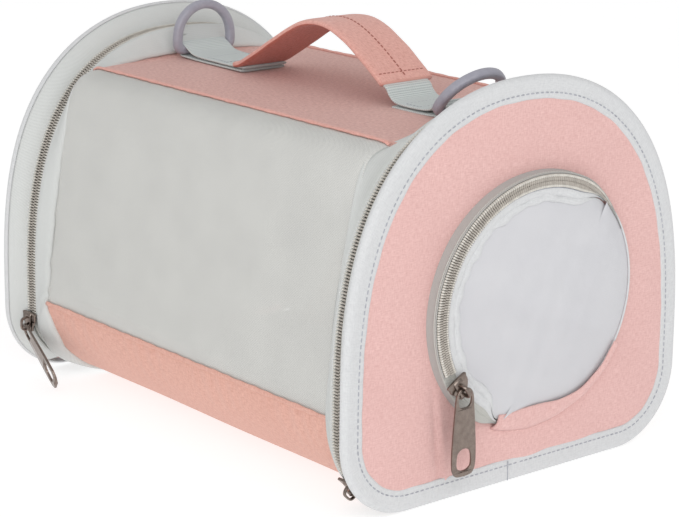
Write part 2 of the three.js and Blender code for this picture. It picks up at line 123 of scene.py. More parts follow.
# %% Outlines
PANEL = dict(width=HALF_WIDTH, floor=1.2, top=CROWN_Z, corner=32, spring=38, n=2.9, n2=2.17)
WIRE = dict(width=82.5, floor=5, top=154, corner=27, spring=38, n=2.7, n2=2.4)
WAIST = dict(width=82.5, floor=0, top=142.5, corner=44, spring=46, n=2.7, n2=2.4, box=16, lean=0.18)
FLOOR_END, CORNER_END, SIDE_END, HALF, LOOP = 2, 7, 8, 20, 40
BAND_TOP = 38.5      # height where the pink band meets the net
TAUT_REAR, TAUT_FRONT = 100, 107      # distances from mid length where the cloth lies on the wire's outline
SEAM = 14.9          # station of the seam between net and top cloth
TUNNEL_END, TUNNEL_FRONT = 97.2, 103.2      # the tunnel's cloth ends here at the rear and at the front
ZIP_X = 109.0        # centre line of each end zip


def arch(shape, inset, station):
    """Point (y, z) of an outline moved inwards by inset. Straight floor, quarter-circle corner, straight
    side, then y = width cos(a)^(2/n2), z = spring + rise sin(a)^(2/n). A boxed outline pushes each crown
    point out along its own direction to (y/width)^box + (z/rise)^box = 1 and leans the sides in. The far
    half mirrors the near half."""
    station = np.asarray(station, float)
    near = station <= HALF
    q = np.where(near, station, LOOP - station)
    inset = np.asarray(inset, float)
    width, radius = shape["width"] - inset, np.maximum(shape["corner"] - inset, 1)
    floor, rise = shape["floor"] + inset, shape["top"] - inset - shape["spring"]
    turn = np.clip((q - FLOOR_END) / (CORNER_END - FLOOR_END), 0, 1) * np.pi / 2
    crown = np.clip((q - SIDE_END) / (HALF - SIDE_END), 0, 1) * np.pi / 2
    side = np.clip((q - CORNER_END) / (SIDE_END - CORNER_END), 0, 1)
    y = np.where(q <= FLOOR_END, (width - radius) * q / FLOOR_END, width - radius + radius * np.sin(turn))
    flat, high = np.clip(np.cos(crown), 0, 1) ** (2 / shape["n2"]), np.sin(crown) ** (2 / shape["n"])
    if "box" in shape:
        push = (flat ** shape["box"] + high ** shape["box"]) ** (-1 / shape["box"])
        flat, high = flat * push, high * push
        flat = flat * (1 - shape["lean"] * high)
    y = np.where(q > SIDE_END, width * flat, y)
    z = floor + radius - radius * np.cos(turn) + (shape["spring"] - floor - radius) * side
    z = np.where(q > SIDE_END, shape["spring"] + rise * high, z)
    return np.stack(np.broadcast_arrays(np.where(near, -y, y), z), -1)


def even_stations(shape, count, start=0.0, stop=LOOP, closed=False):
    """Stations whose points lie the same distance apart: the running length of the outline, read
    backwards."""
    fine = np.linspace(start, stop, 4000)
    steps = np.linalg.norm(np.diff(arch(shape, 0, fine), axis=0), axis=1)
    length = np.concatenate([[0], np.cumsum(steps)])
    wanted = np.linspace(0, length[-1], count, endpoint=not closed)
    return np.interp(wanted, length, fine)


def outline_length(shape, start, stop):
    """Length of the outline between two stations, in millimetres."""
    points = arch(shape, 0, np.linspace(start, stop, 4000))
    return float(np.linalg.norm(np.diff(points, axis=0), axis=1).sum())


def tunnel(x, inset, station):
    """The tunnel's cloth: the waist outline along most of its length, turning into the wire outline near
    both ends. The share of the wire outline is (|x| / taut) to the power 60."""
    share = np.clip(np.maximum(-x / TAUT_REAR, x / TAUT_FRONT), 0, 1)[..., None] ** 60
    yz = arch(WAIST, inset, station) * (1 - share) + arch(WIRE, inset, station) * share
    x = np.broadcast_to(np.asarray(x, float)[..., None], yz[..., :1].shape)
    return np.concatenate([x, yz], -1)


for label, shape in (("end panel", PANEL), ("wire", WIRE), ("waist", WAIST)):
    print(f"{label}: {outline_length(shape, 0, LOOP):.0f} mm round")

# %% [markdown]
# ## From numbers to a mesh
# A surface is a grid of points. The helper joins neighbours with four-sided faces, closes the grid where
# the shape closes on itself, caps the ends of a tube, and writes a UV map whose unit is one centimetre of
# cloth, so that a weave has the same size on every piece and follows the cloth round its curves.

# %% Mesh helpers


def running(points, axis, wrap):
    """Mean distance from the first row to each row of a grid, with one more entry where the grid closes."""
    if wrap:
        points = np.concatenate([points, np.take(points, [0], axis)], axis)
    steps = np.linalg.norm(np.diff(points, axis=axis), axis=-1).mean(1 - axis)
    return np.concatenate([[0], np.cumsum(steps)])


def grid_mesh(points, wrap_u, wrap_v, caps):
    """Faces (i, j), (i+1, j), (i+1, j+1), (i, j+1) of a grid, and the UV of each corner in centimetres."""
    nu, nv = points.shape[:2]
    across, along = np.arange(nu if wrap_u else nu - 1), np.arange(nv if wrap_v else nv - 1)
    i, j = (axis.ravel() for axis in np.meshgrid(across, along, indexing="ij"))
    i1, j1 = i + 1, j + 1
    faces = np.stack([i * nv + j, i1 % nu * nv + j, i1 % nu * nv + j1 % nv, i * nv + j1 % nv], -1)
    u, v = running(points, 0, wrap_u) / 10, running(points, 1, wrap_v) / 10
    uv = np.stack([np.stack([u[a], v[b]], -1) for a, b in ((i, j), (i1, j), (i1, j1), (i, j1))], 1)
    faces, uv = faces.tolist(), uv.reshape(-1, 2)
    if caps:
        ends = [list(range(nv))[::-1], [(nu - 1) * nv + k for k in range(nv)]]
        faces += ends
        uv = np.concatenate([uv, np.zeros((2 * nv, 2))])
    return faces, uv


def new_piece(name, points, faces, material, uv=None, outward=False):
    """An object at the origin from points in millimetres about the bag's middle."""
    mesh = bpy.data.meshes.new(name)
    place = (np.asarray(points, float).reshape(-1, 3) + [MIDDLE_X, 0, 0]) * MM
    mesh.from_pydata(place.tolist(), [], faces)
    if uv is not None:
        mesh.uv_layers.new(name="cloth").data.foreach_set("uv", uv.astype(np.float32).ravel())
    mesh.polygons.foreach_set("use_smooth", [True] * len(mesh.polygons))
    mesh.update()
    if outward:
        whole = bmesh.new()
        whole.from_mesh(mesh)
        bmesh.ops.recalc_face_normals(whole, faces=whole.faces)
        whole.to_mesh(mesh)
        whole.free()
    piece = bpy.data.objects.new(name, mesh)
    bpy.context.scene.collection.objects.link(piece)
    mesh.materials.append(material)
    return piece


def place_piece(piece, body, nodes=()):
    """Gives a piece its body and the CAD nodes that it stands for."""
    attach(piece, body)
    if nodes:
        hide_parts(*nodes)
    return piece


def surface(name, points, material, wrap_u=False, wrap_v=False, caps=False, thick=0.0, flip=False):
    """A grid of points as a piece. A closed grid has its faces turned outwards; an open one gets a wall."""
    points = np.asarray(points, float)
    if flip:
        points = points[:, ::-1]
    faces, uv = grid_mesh(points, wrap_u, wrap_v, caps)
    closed = wrap_v and (wrap_u or caps)
    piece = new_piece(name, points, faces, material, uv, outward=closed)
    if thick:
        wall = piece.modifiers.new("wall", "SOLIDIFY")
        wall.thickness, wall.offset = thick * MM, -1
    return piece


def smooth_path(points, count, closed=False):
    """Catmull-Rom curve through a few points, sampled evenly along its length."""
    p = np.asarray(points, float)
    before, after = (p[-1:], p[:2]) if closed else (2 * p[:1] - p[1:2], 2 * p[-1:] - p[-2:-1])
    around = np.concatenate([before, p, after])
    spans = len(p) if closed else len(p) - 1
    t = np.linspace(0, 1, 24, endpoint=False)[:, None]
    a, b, c, d = (around[k:k + spans][:, None] for k in range(4))
    square, cube = 2 * a - 5 * b + 4 * c - d, 3 * b - a - 3 * c + d
    curve = 0.5 * (2 * b + (c - a) * t + square * t ** 2 + cube * t ** 3)
    curve = np.concatenate([curve.reshape(-1, p.shape[1]), p[:1] if closed else p[-1:]])
    length = np.concatenate([[0], np.cumsum(np.linalg.norm(np.diff(curve, axis=0), axis=1))])
    wanted = np.linspace(0, length[-1], count, endpoint=not closed)
    return np.stack([np.interp(wanted, length, curve[:, k]) for k in range(p.shape[1])], -1)


def unit(v):
    """Each row divided by its length."""
    return v / np.maximum(np.linalg.norm(v, axis=-1, keepdims=True), 1e-9)


def hoop(section, stations, side):
    """A strip round an end: each section point is (x, outline, inset), carried to every station."""
    rows = []
    for x, shape, inset in section:
        yz = arch(shape, inset, stations)
        rows.append(np.column_stack([np.full(len(yz), side * x), yz]))
    return np.stack(rows, 1)


print("mesh helpers ready")

# %% [markdown]
# ## Shared effects
# Three effects are used by several finishes, so each is a node group. The first is woven cloth: yarns run
# both ways, each a little lighter or darker along its length, which gives the heathered look. The second
# is ribs, for webbing and zip tape. The third is a net, whose holes are made by its alpha.

# %% Node groups


def node_group(name, inputs, outputs):
    """An empty shader group with named float, vector or colour sockets."""
    group = bpy.data.node_groups.new(name, "ShaderNodeTree")
    kinds = {"f": "NodeSocketFloat", "v": "NodeSocketVector", "c": "NodeSocketColor"}
    for way, sockets in (("INPUT", inputs), ("OUTPUT", outputs)):
        for socket, kind in sockets.items():
            group.interface.new_socket(name=socket, in_out=way, socket_type=kinds[kind])
    return group, group.nodes.new("NodeGroupInput"), group.nodes.new("NodeGroupOutput")


def link(tree, start, end):
    """Joins two sockets."""
    tree.links.new(start, end)


def value_of(tree, source, socket):
    """Links a socket, or writes a plain number on it."""
    if isinstance(source, bpy.types.NodeSocket):
        tree.links.new(source, socket)
    else:
        socket.default_value = source


def calc(tree, operation, *values):
    """A Math node on sockets or plain numbers."""
    node = tree.nodes.new("ShaderNodeMath")
    node.operation = operation
    for socket, value in zip(node.inputs, values):
        value_of(tree, value, socket)
    return node.outputs[0]


def stretched(tree, vector, across, along):
    """The vector times (across, along, 0)."""
    node = tree.nodes.new("ShaderNodeCombineXYZ")
    value_of(tree, across, node.inputs[0])
    value_of(tree, along, node.inputs[1])
    times = tree.nodes.new("ShaderNodeVectorMath")
    times.operation = "MULTIPLY"
    link(tree, vector, times.inputs[0])
    link(tree, node.outputs[0], times.inputs[1])
    return times.outputs[0]


def noise(tree, vector, scale=1.0, detail=2.0):
    """A noise value from 0 to 1."""
    node = tree.nodes.new("ShaderNodeTexNoise")
    node.inputs["Scale"].default_value, node.inputs["Detail"].default_value = scale, detail
    link(tree, vector, node.inputs["Vector"])
    return node.outputs["Fac"]


def blend_colour(tree, share, first, second):
    """A Mix node for colours."""
    node = tree.nodes.new("ShaderNodeMix")
    node.data_type = "RGBA"
    value_of(tree, share, node.inputs[0])
    value_of(tree, first, node.inputs[6])
    value_of(tree, second, node.inputs[7])
    return node.outputs[2]


def spread(tree, value, low, high, to_low=0.0, to_high=1.0):
    """A Map Range node."""
    node = tree.nodes.new("ShaderNodeMapRange")
    for k, v in enumerate((value, low, high, to_low, to_high)):
        value_of(tree, v, node.inputs[k])
    return node.outputs[0]


def woven_group():
    """Yarn streaks both ways, over a plain weave sin(u) sin(v); slow blotches stand for handling and
    shade."""
    tree, start, end = node_group(
        "woven_cloth", {"Vector": "v", "Base": "c", "Light": "c", "Dark": "c", "Yarns": "f", "Heather": "f"},
        {"Color": "c", "Height": "f", "Roughness": "f"})
    vector, yarns = start.outputs["Vector"], start.outputs["Yarns"]
    slow = calc(tree, "MULTIPLY", yarns, 0.22)
    warp = noise(tree, stretched(tree, vector, yarns, slow), 1.0, 3.0)
    weft = noise(tree, stretched(tree, vector, slow, yarns), 1.0, 3.0)
    mixed = calc(tree, "ADD", calc(tree, "MULTIPLY", warp, 0.5), calc(tree, "MULTIPLY", weft, 0.5))
    lighter = calc(tree, "MULTIPLY", spread(tree, mixed, 0.5, 0.66), start.outputs["Heather"])
    darker = calc(tree, "MULTIPLY", spread(tree, mixed, 0.5, 0.34), start.outputs["Heather"])
    colour = blend_colour(tree, lighter, start.outputs["Base"], start.outputs["Light"])
    colour = blend_colour(tree, darker, colour, start.outputs["Dark"])
    blotch = noise(tree, vector, 0.35, 2.0)
    shade = blend_colour(tree, spread(tree, blotch, 0.3, 0.7, 0.0, 0.12), colour, start.outputs["Dark"])
    link(tree, shade, end.inputs["Color"])
    parts = tree.nodes.new("ShaderNodeSeparateXYZ")
    link(tree, stretched(tree, vector, yarns, yarns), parts.inputs[0])
    u = calc(tree, "SINE", calc(tree, "MULTIPLY", parts.outputs[0], math.pi))
    v = calc(tree, "SINE", calc(tree, "MULTIPLY", parts.outputs[1], math.pi))
    weave = calc(tree, "ABSOLUTE", calc(tree, "MULTIPLY", u, v))
    height = calc(tree, "ADD", calc(tree, "MULTIPLY", weave, 0.5), mixed)
    link(tree, height, end.inputs["Height"])
    link(tree, spread(tree, mixed, 0.3, 0.7, 0.95, 0.8), end.inputs["Roughness"])
    return tree


def ribbed_group():
    """Ribs across a tape: |sin| along one direction, broken by short stitches along the other. The hollows
    between the ribs are painted darker towards the groove colour as shade, more or less with fine flecks.
    """
    tree, start, end = node_group(
        "ribbed_tape", {"Vector": "v", "Base": "c", "Groove": "c", "Ribs": "f", "Slant": "f"},
        {"Color": "c", "Height": "f"})
    parts = tree.nodes.new("ShaderNodeSeparateXYZ")
    link(tree, start.outputs["Vector"], parts.inputs[0])
    ribs = start.outputs["Ribs"]
    lean = calc(tree, "MULTIPLY", parts.outputs[1], start.outputs["Slant"])
    slanted = calc(tree, "ADD", parts.outputs[0], lean)
    turns = calc(tree, "MULTIPLY", calc(tree, "MULTIPLY", slanted, ribs), math.pi)
    rib = calc(tree, "ABSOLUTE", calc(tree, "SINE", turns))
    cross = calc(tree, "MULTIPLY", calc(tree, "MULTIPLY", parts.outputs[1], ribs), math.pi)
    knot = calc(tree, "ABSOLUTE", calc(tree, "SINE", cross))
    height = calc(tree, "ADD", calc(tree, "MULTIPLY", rib, 0.75), calc(tree, "MULTIPLY", knot, 0.25))
    fleck = noise(tree, start.outputs["Vector"], 14.0, 2.0)
    # painted shade: the low parts between the ribs are darkened towards the groove colour
    groove = spread(tree, height, 0.2, 0.75, 1.0, 0.0)
    share = calc(tree, "MULTIPLY", groove, spread(tree, fleck, 0.3, 0.7, 0.5, 1.0))
    shade = blend_colour(tree, share, start.outputs["Base"], start.outputs["Groove"])
    link(tree, shade, end.inputs["Color"])
    link(tree, height, end.inputs["Height"])
    return tree


def net_group():
    """A knitted net: a hole wherever |sin(u) sin(v)| is large, on a grid turned by 45 degrees. The yarn
    between the holes is solid, and the holes keep a little of it, as the finest fibres do."""
    tree, start, end = node_group(
        "knitted_net", {"Vector": "v", "Base": "c", "Dark": "c", "Holes": "f", "Open": "f"},
        {"Color": "c", "Alpha": "f", "Height": "f"})
    turned = tree.nodes.new("ShaderNodeVectorRotate")
    turned.rotation_type = "Z_AXIS"
    turned.inputs["Angle"].default_value = math.radians(45)
    link(tree, start.outputs["Vector"], turned.inputs["Vector"])
    parts = tree.nodes.new("ShaderNodeSeparateXYZ")
    link(tree, turned.outputs[0], parts.inputs[0])
    base, dark = start.outputs["Base"], start.outputs["Dark"]
    waves = []
    for k in (0, 1):
        holes = calc(tree, "MULTIPLY", parts.outputs[k], start.outputs["Holes"])
        waves.append(calc(tree, "ABSOLUTE", calc(tree, "SINE", calc(tree, "MULTIPLY", holes, math.pi))))
    hole = spread(tree, calc(tree, "MULTIPLY", waves[0], waves[1]), 0.5, 0.62)
    gap = calc(tree, "MULTIPLY", hole, start.outputs["Open"])
    link(tree, calc(tree, "SUBTRACT", 1.0, gap), end.inputs["Alpha"])
    cloud = noise(tree, start.outputs["Vector"], 0.5, 3.0)
    colour = blend_colour(tree, spread(tree, cloud, 0.35, 0.7, 0.0, 0.35), base, dark)
    # painted shade: the holes are also darkened a little towards the dark colour
    shade = blend_colour(tree, calc(tree, "MULTIPLY", hole, 0.3), colour, dark)
    link(tree, shade, end.inputs["Color"])
    link(tree, calc(tree, "SUBTRACT", 1.0, hole), end.inputs["Height"])
    return tree


WOVEN, RIBBED, NET = woven_group(), ribbed_group(), net_group()
print("node groups:", [g.name for g in bpy.data.node_groups])

# %% [markdown]
# ## Finishes
# Each finish is its own material with its own numbers. Cloth is rough with a soft sheen; net lets light
# through; the zip teeth are satin nylon; the sliders and pulls are dark plated metal; the rings are
# moulded plastic.

# %% Materials


def colour(red, green, blue):
    """An sRGB colour given from 0 to 255, as the linear colour that a shader reads."""
    parts = [v / 255 for v in (red, green, blue)]
    return [v / 12.92 if v <= 0.04045 else ((v + 0.055) / 1.055) ** 2.4 for v in parts] + [1.0]


def finish(name, roughness=0.8, metallic=0.0, sheen=0.0, specular=0.5):
    """A material with a Principled shader and these plain numbers on it."""
    material = bpy.data.materials.new(name)
    material.use_nodes = True
    shader = material.node_tree.nodes["Principled BSDF"]
    shader.inputs["Roughness"].default_value = roughness
    shader.inputs["Metallic"].default_value = metallic
    shader.inputs["Sheen Weight"].default_value = sheen
    shader.inputs["Specular IOR Level"].default_value = specular
    return material, material.node_tree, shader


def coordinates(tree, kind):
    """UV, whose unit is a centimetre of cloth, or Object coordinates turned into centimetres."""
    node = tree.nodes.new("ShaderNodeTexCoord")
    mapping = tree.nodes.new("ShaderNodeMapping")
    size = 1 if kind == "UV" else 100
    mapping.inputs["Scale"].default_value = (size, size, size)
    link(tree, node.outputs[kind], mapping.inputs["Vector"])
    return mapping.outputs[0]


def bump(tree, shader, height, strength, distance):
    """A Bump node from a height to the shader's normal; distance in millimetres."""
    node = tree.nodes.new("ShaderNodeBump")
    node.inputs["Strength"].default_value, node.inputs["Distance"].default_value = strength, distance * MM
    link(tree, height, node.inputs["Height"])
    link(tree, node.outputs[0], shader.inputs["Normal"])


def placed_group(tree, group, vector, **values):
    """A group in a material, with its own values."""
    node = tree.nodes.new("ShaderNodeGroup")
    node.node_tree = group
    link(tree, vector, node.inputs["Vector"])
    for socket, value in values.items():
        node.inputs[socket].default_value = value
    return node


def woven(name, base, light, dark, yarns=20.0, heather=0.8, depth=0.25, kind="UV"):
    """Woven cloth with yarns per centimetre, heather from 0 to 1 and bump depth in millimetres."""
    material, tree, shader = finish(name, 0.9, sheen=0.25, specular=0.25)
    cloth = placed_group(tree, WOVEN, coordinates(tree, kind), Base=colour(*base), Light=colour(*light),
                         Dark=colour(*dark), Yarns=yarns, Heather=heather)
    link(tree, cloth.outputs["Color"], shader.inputs["Base Color"])
    link(tree, cloth.outputs["Roughness"], shader.inputs["Roughness"])
    bump(tree, shader, cloth.outputs["Height"], 0.6, depth)
    return material


def ribbed(name, base, groove, ribs, slant=0.0, depth=0.3):
    """Ribbed tape or webbing, with ribs per centimetre; groove is the darker colour painted into the hollows
    between the ribs as shade.
    """
    material, tree, shader = finish(name, 0.75, sheen=0.15, specular=0.35)
    tape = placed_group(tree, RIBBED, coordinates(tree, "UV"), Base=colour(*base), Groove=colour(*groove),
                        Ribs=ribs, Slant=slant)
    link(tree, tape.outputs["Color"], shader.inputs["Base Color"])
    bump(tree, shader, tape.outputs["Height"], 0.7, depth)
    return material


def netting(name, base, dark, holes, openness):
    """Net whose holes let this share of the light through."""
    material, tree, shader = finish(name, 0.8, sheen=0.1, specular=0.2)
    net = placed_group(tree, NET, coordinates(tree, "UV"), Base=colour(*base), Dark=colour(*dark),
                       Holes=holes, Open=openness)
    link(tree, net.outputs["Color"], shader.inputs["Base Color"])
    link(tree, net.outputs["Alpha"], shader.inputs["Alpha"])
    bump(tree, shader, net.outputs["Height"], 0.3, 0.15)
    return material


def solid_finish(name, base, worn, roughness, metallic=0.0, grain=0.1, coat=0.0):
    """Plastic or metal: two close colours in fine clouds, scuffs in the roughness, and a fine grain in the
    bump."""
    material, tree, shader = finish(name, roughness, metallic)
    shader.inputs["Coat Weight"].default_value = coat
    place = coordinates(tree, "Object")
    cloud = noise(tree, place, 4.0, 4.0)
    mixed = blend_colour(tree, spread(tree, cloud, 0.35, 0.65), colour(*base), colour(*worn))
    link(tree, mixed, shader.inputs["Base Color"])
    scuff = noise(tree, place, 40.0, 3.0)
    link(tree, spread(tree, scuff, 0.3, 0.7, roughness - 0.05, roughness + 0.08), shader.inputs["Roughness"])
    bump(tree, shader, scuff, grain, 0.05)
    return material


pink_door = woven("pink_door_cloth", (229, 186, 181), (244, 206, 201), (212, 162, 157), heather=0.6)
pink_band = woven("pink_band_cloth", (225, 172, 156), (240, 194, 178), (204, 146, 130), heather=0.7)
pink_top = woven("pink_top_cloth", (222, 172, 162), (240, 198, 188), (192, 138, 130), heather=0.85,
                 depth=0.35)
pink_grip = woven("pink_grip_cloth", (230, 172, 160), (244, 196, 184), (204, 142, 130), heather=0.7)
# the handle's underside gets a darker red-brown than its top
underside_red_brown = woven("grip_underside_cloth", (196, 112, 96), (214, 134, 118), (160, 84, 72), heather=0.7)
grey_binding = woven("grey_binding_cloth", (214, 215, 216), (226, 227, 228), (198, 199, 201), yarns=18,
                     heather=0.5)
grey_lining = woven("grey_lining_cloth", (196, 198, 198), (210, 212, 212), (176, 178, 180), kind="Object")
# the second colour of each ribbed cloth is painted shade for the hollows between its ribs
grey_rib = ribbed("grey_ribbed_cloth", (216, 218, 216), (186, 188, 186), 14.0, 1.0, 0.15)
tape_cloth = ribbed("zip_tape_cloth", (198, 198, 192), (160, 158, 152), 12.0, 1.0, 0.2)
webbing = ribbed("ribbed_webbing", (208, 214, 212), (168, 176, 176), 9.0, 0.0, 0.4)
side_net = netting("side_net", (216, 216, 212), (200, 200, 197), 19.0, 0.42)
window_net = netting("window_net", (215, 215, 218), (203, 203, 208), 22.0, 0.2)
zip_nylon = solid_finish("zip_coil_nylon", (190, 183, 174), (172, 165, 157), 0.45, grain=0.2)
zip_bead = solid_finish("zip_bead_nylon", (220, 216, 208), (204, 200, 192), 0.4, grain=0.2)
# painted shade: the window rim's cloth is the zip tape's grey made darker, for the shade on the rim's wall;
# the outer window zip cord uses it too
shaded_rim_cloth = ribbed("window_rim_cloth", (182, 181, 178), (160, 158, 154), 16.0, 1.0, 0.15)
plated_metal = solid_finish("gunmetal_plating", (126, 114, 107), (140, 128, 120), 0.24, 1.0, 0.02)
ring_plastic = solid_finish("lilac_ring_plastic", (154, 153, 165), (163, 162, 173), 0.4, coat=0.2)
thread = solid_finish("slate_thread", (182, 184, 191), (158, 160, 168), 0.8)
pale_thread = solid_finish("pale_thread", (226, 228, 230), (206, 208, 212), 0.8)
pink_thread = solid_finish("pink_thread", (178, 112, 100), (160, 96, 86), 0.8)
spring_wire = solid_finish("spring_wire_sleeve", (188, 190, 188), (170, 172, 170), 0.7, grain=0.3)
print(len(bpy.data.materials), "materials")

# %% [markdown]
# ## Net, band and top cloth
# The tunnel is sewn from four pieces that share one shape: a pink band that runs under the floor and up
# both sides, a net on each side, and a pink top. Each is a part of the tunnel's surface between two
# seams, pushed out or in along its own normal by a few soft folds, because sewn cloth is never flat. The
# seams are level lines, so their station is looked up for every step along the bag.

# %% Tunnel cloth
along = np.linspace(-TUNNEL_END, TUNNEL_FRONT, 125)
AXIS_Z = 75             # height of the line that all the cloth faces away from
HEM_STEP = 0.05         # a step in stations, to read the direction of the cloth across a seam


def station_at_height(x, z):
    """Station on the near side where the tunnel's surface reaches a height, for every x."""
    fine = np.linspace(FLOOR_END, SEAM, 400)
    grid = tunnel(np.broadcast_to(x[:, None], (len(x), 400)), 0, np.broadcast_to(fine, (len(x), 400)))
    return np.array([np.interp(z, row, fine) for row in grid[..., 2]])


def turned_out(directions, points):
    """Unit directions at some points, each turned to face away from the bag's long axis."""
    directions = unit(directions)
    away = (points - [0, 0, AXIS_Z]) * [0, 1, 1]
    return directions * np.sign((directions * away).sum(-1, keepdims=True))


def folds(x, v, size, seed):
    """Slow folds across and along the cloth: six sine waves with seeded directions and phases."""
    draw = np.random.default_rng(seed)
    total = np.zeros_like(x)
    for wave in range(6):
        a, b, phase = draw.uniform(-0.07, 0.07), draw.uniform(-1.1, 1.1), draw.uniform(0, math.tau)
        total = total + np.sin(a * x + b * v + phase) / (1 + 0.5 * wave)
    return total * size / 3


def tunnel_part(low, high, rows, inset, size, seed, puckers=0.0):
    """Grid between two seams, given as stations for every x, with folds that die out at the seams."""
    share = np.linspace(0, 1, rows)
    x, v = np.meshgrid(along, share, indexing="ij")
    station = low[:, None] * (1 - v) + high[:, None] * v
    points = tunnel(x, inset, station % LOOP)
    fade = np.sin(np.pi * np.clip(v, 0, 1)) ** 0.5
    lift = folds(x, station, size, seed) * fade
    edge = np.exp(-((1 - v) / 0.12) ** 2) + np.exp(-(v / 0.12) ** 2)
    lift = lift + puckers * edge * np.sin(0.9 * x + 2 * np.sin(0.13 * x)) * np.abs(np.sin(0.061 * x + seed))
    normal = np.cross(np.gradient(points, axis=0), np.gradient(points, axis=1))
    return points + turned_out(normal, points) * lift[..., None]


band_station = station_at_height(along, BAND_TOP)
seam_station = np.full_like(along, SEAM)


def hem(name, station, radius, lift, material, body):
    """A rolled seam: a small tube along a seam line, a little uneven, flattened against the cloth."""
    line = tunnel(along, 0, station % LOOP)
    grid = tunnel(np.stack([along, along], 1), 0, np.stack([station, station + HEM_STEP], 1) % LOOP)
    up = unit(grid[:, 1] - grid[:, 0])
    out = turned_out(np.cross(up, [1.0, 0, 0]), line)
    turn = np.linspace(0, math.tau, 12, endpoint=False)
    size = radius * (1 + 0.12 * np.sin(0.7 * along) + 0.1 * np.sin(0.23 * along + 1))
    wide, high = 1.4 * np.cos(turn)[None, :, None], 0.8 * np.sin(turn)[None, :, None]
    ring = wide * up[:, None] + high * out[:, None]
    points = line[:, None] + out[:, None] * lift + ring * size[:, None, None]
    return place_piece(surface(name, points, material, wrap_v=True, caps=True), body)


band = surface("bottom_band", tunnel_part(-band_station, band_station, 121, 0, 0.35, 3, 0.25), pink_band,
               thick=1.0)
place_piece(band, "bag", ["bottom_tray"])
top_cloth = surface("top_cloth", tunnel_part(seam_station, LOOP - seam_station, 81, 0, 0.9, 8), pink_top,
                    thick=1.0)
place_piece(top_cloth, "bag", ["top_panel"])
for where, band_line, seam_line in (("near", band_station, seam_station),
                                    ("far", LOOP - band_station, LOOP - seam_station)):
    low, high = (band_line, seam_line) if where == "near" else (seam_line, band_line)
    net = surface(f"side_net_{where}", tunnel_part(low, high, 61, 0.4, 0.9, 5), side_net)
    place_piece(net, "bag", [f"side_mesh_{where}"])
    hem(f"band_hem_{where}", band_line, 0.75, 0.25, pink_band, "bag")
    hem(f"top_hem_{where}", seam_line, 0.8, 0.3, pink_grip, "bag")

# %% [markdown]
# ## The rolled facing and the spring wires
# Each end of the tunnel is finished with a folded strip that hides the raw edges. It is a soft closed
# loop carried round the wire's outline. Its inner edge wanders a little, most of all near the floor,
# where the cloth is thickest. Inside it lies the spring wire in a cloth sleeve.

# %% Facing and wire
FRONT_FACING = 0.45      # the front strip shows less than half as wide as the rear one
SLEEVE_X, SLEEVE_INSET, SLEEVE_R = 101, 2.95, 1.2
FACING = [(95.8, 0.2), (96.6, -0.9), (99, -1.4), (103, -1.2), (105.6, -0.6), (106.2, 0.4), (105, 1.3),
          (97.5, 1.5)]
FACING_EDGE = FACING[5][0]      # the strip's side towards the zip
FACING_RISE = {-1: (94.5, 102.3), 1: (100.8, 105.2)}      # x where it leaves the cloth and meets the wire


def facing_points(side):
    """Closed loop of (x, inset), with the inner edge moved by three sine waves of the station."""
    stations = even_stations(WIRE, 420, closed=True)
    section = smooth_path(FACING, 22, closed=True)
    if side > 0:
        section[:, 0] = FACING_EDGE - (FACING_EDGE - section[:, 0]) * FRONT_FACING
    share = np.clip((103 - section[:, 0]) / 6, 0, 1)
    length = np.linspace(0, 1, len(stations), endpoint=False) * math.tau
    wander = 0.5 * np.sin(23 * length) + 0.4 * np.sin(41 * length + 1) + 0.25 * np.sin(67 * length + 2)
    near_floor = np.exp(-((np.minimum(stations, LOOP - stations) - 6.5) / 1.6) ** 2)
    wander = wander * (0.35 + 1.5 * near_floor)
    x = section[:, 0] + share * wander[:, None]
    begin, arrive = FACING_RISE[side]
    rise = np.clip((section[:, 0] - begin) / (arrive - begin), 0, 1)
    rise = 0.12 + 0.88 * rise ** 1.3
    yz = np.stack([arch(WAIST, inset, stations) * (1 - share) + arch(WIRE, inset, stations) * share
                   for share, inset in zip(rise, section[:, 1])], 1)
    return np.concatenate([side * x[..., None], yz], -1)


def tube_round(shape, x, inset, radius, side, count=260, start=0.0, stop=LOOP, sides=10):
    """A round tube along an outline: (x, inset) turns round its centre line."""
    closed = start == 0 and stop == LOOP
    stations = even_stations(shape, count, start, stop, closed=closed)
    turn = np.linspace(0, math.tau, sides, endpoint=False)
    section = [(x + radius * math.cos(a), shape, inset + radius * math.sin(a)) for a in turn]
    return hoop(section, stations, side)


for side, end in ((1, "front"), (-1, "rear")):
    roll = surface(f"{end}_facing_roll", facing_points(side), grey_rib, wrap_u=True, wrap_v=True)
    place_piece(roll, "bag", [f"{end}_facing"])
    loop = tube_round(WIRE, SLEEVE_X, SLEEVE_INSET, SLEEVE_R, side)
    sleeve = surface(f"{end}_wire_sleeve", loop, spring_wire, wrap_u=True, wrap_v=True)
    place_piece(sleeve, "bag", [f"{end}_wire_frame"])
print("facings and wires made")

# %% [markdown]
# ## Zips
# A coil zip is a nylon spiral sewn to each tape. What shows of every turn is one small rounded bar across
# the tape. One bar is described by a few rings of points, and the whole row is made at once by placing
# that bar at each point of the zip's path, on three directions: across the zip, outwards, and along it.

# %% Zip rows
TOOTH_PITCH, TOOTH_SIZE = 1.25, 1.3
BAR_RINGS = [(-1.0, 0.4), (-0.8, 0.9), (-0.2, 1.0), (0.6, 0.95), (1.0, 0.5)]      # (place along, thickness)
BAR_SIDES = 6
TAPE_IN, TAPE_OUT, TAPE_GAP = 103.2, 114.3, 0.2      # edges of the two tapes, and half the gap between them


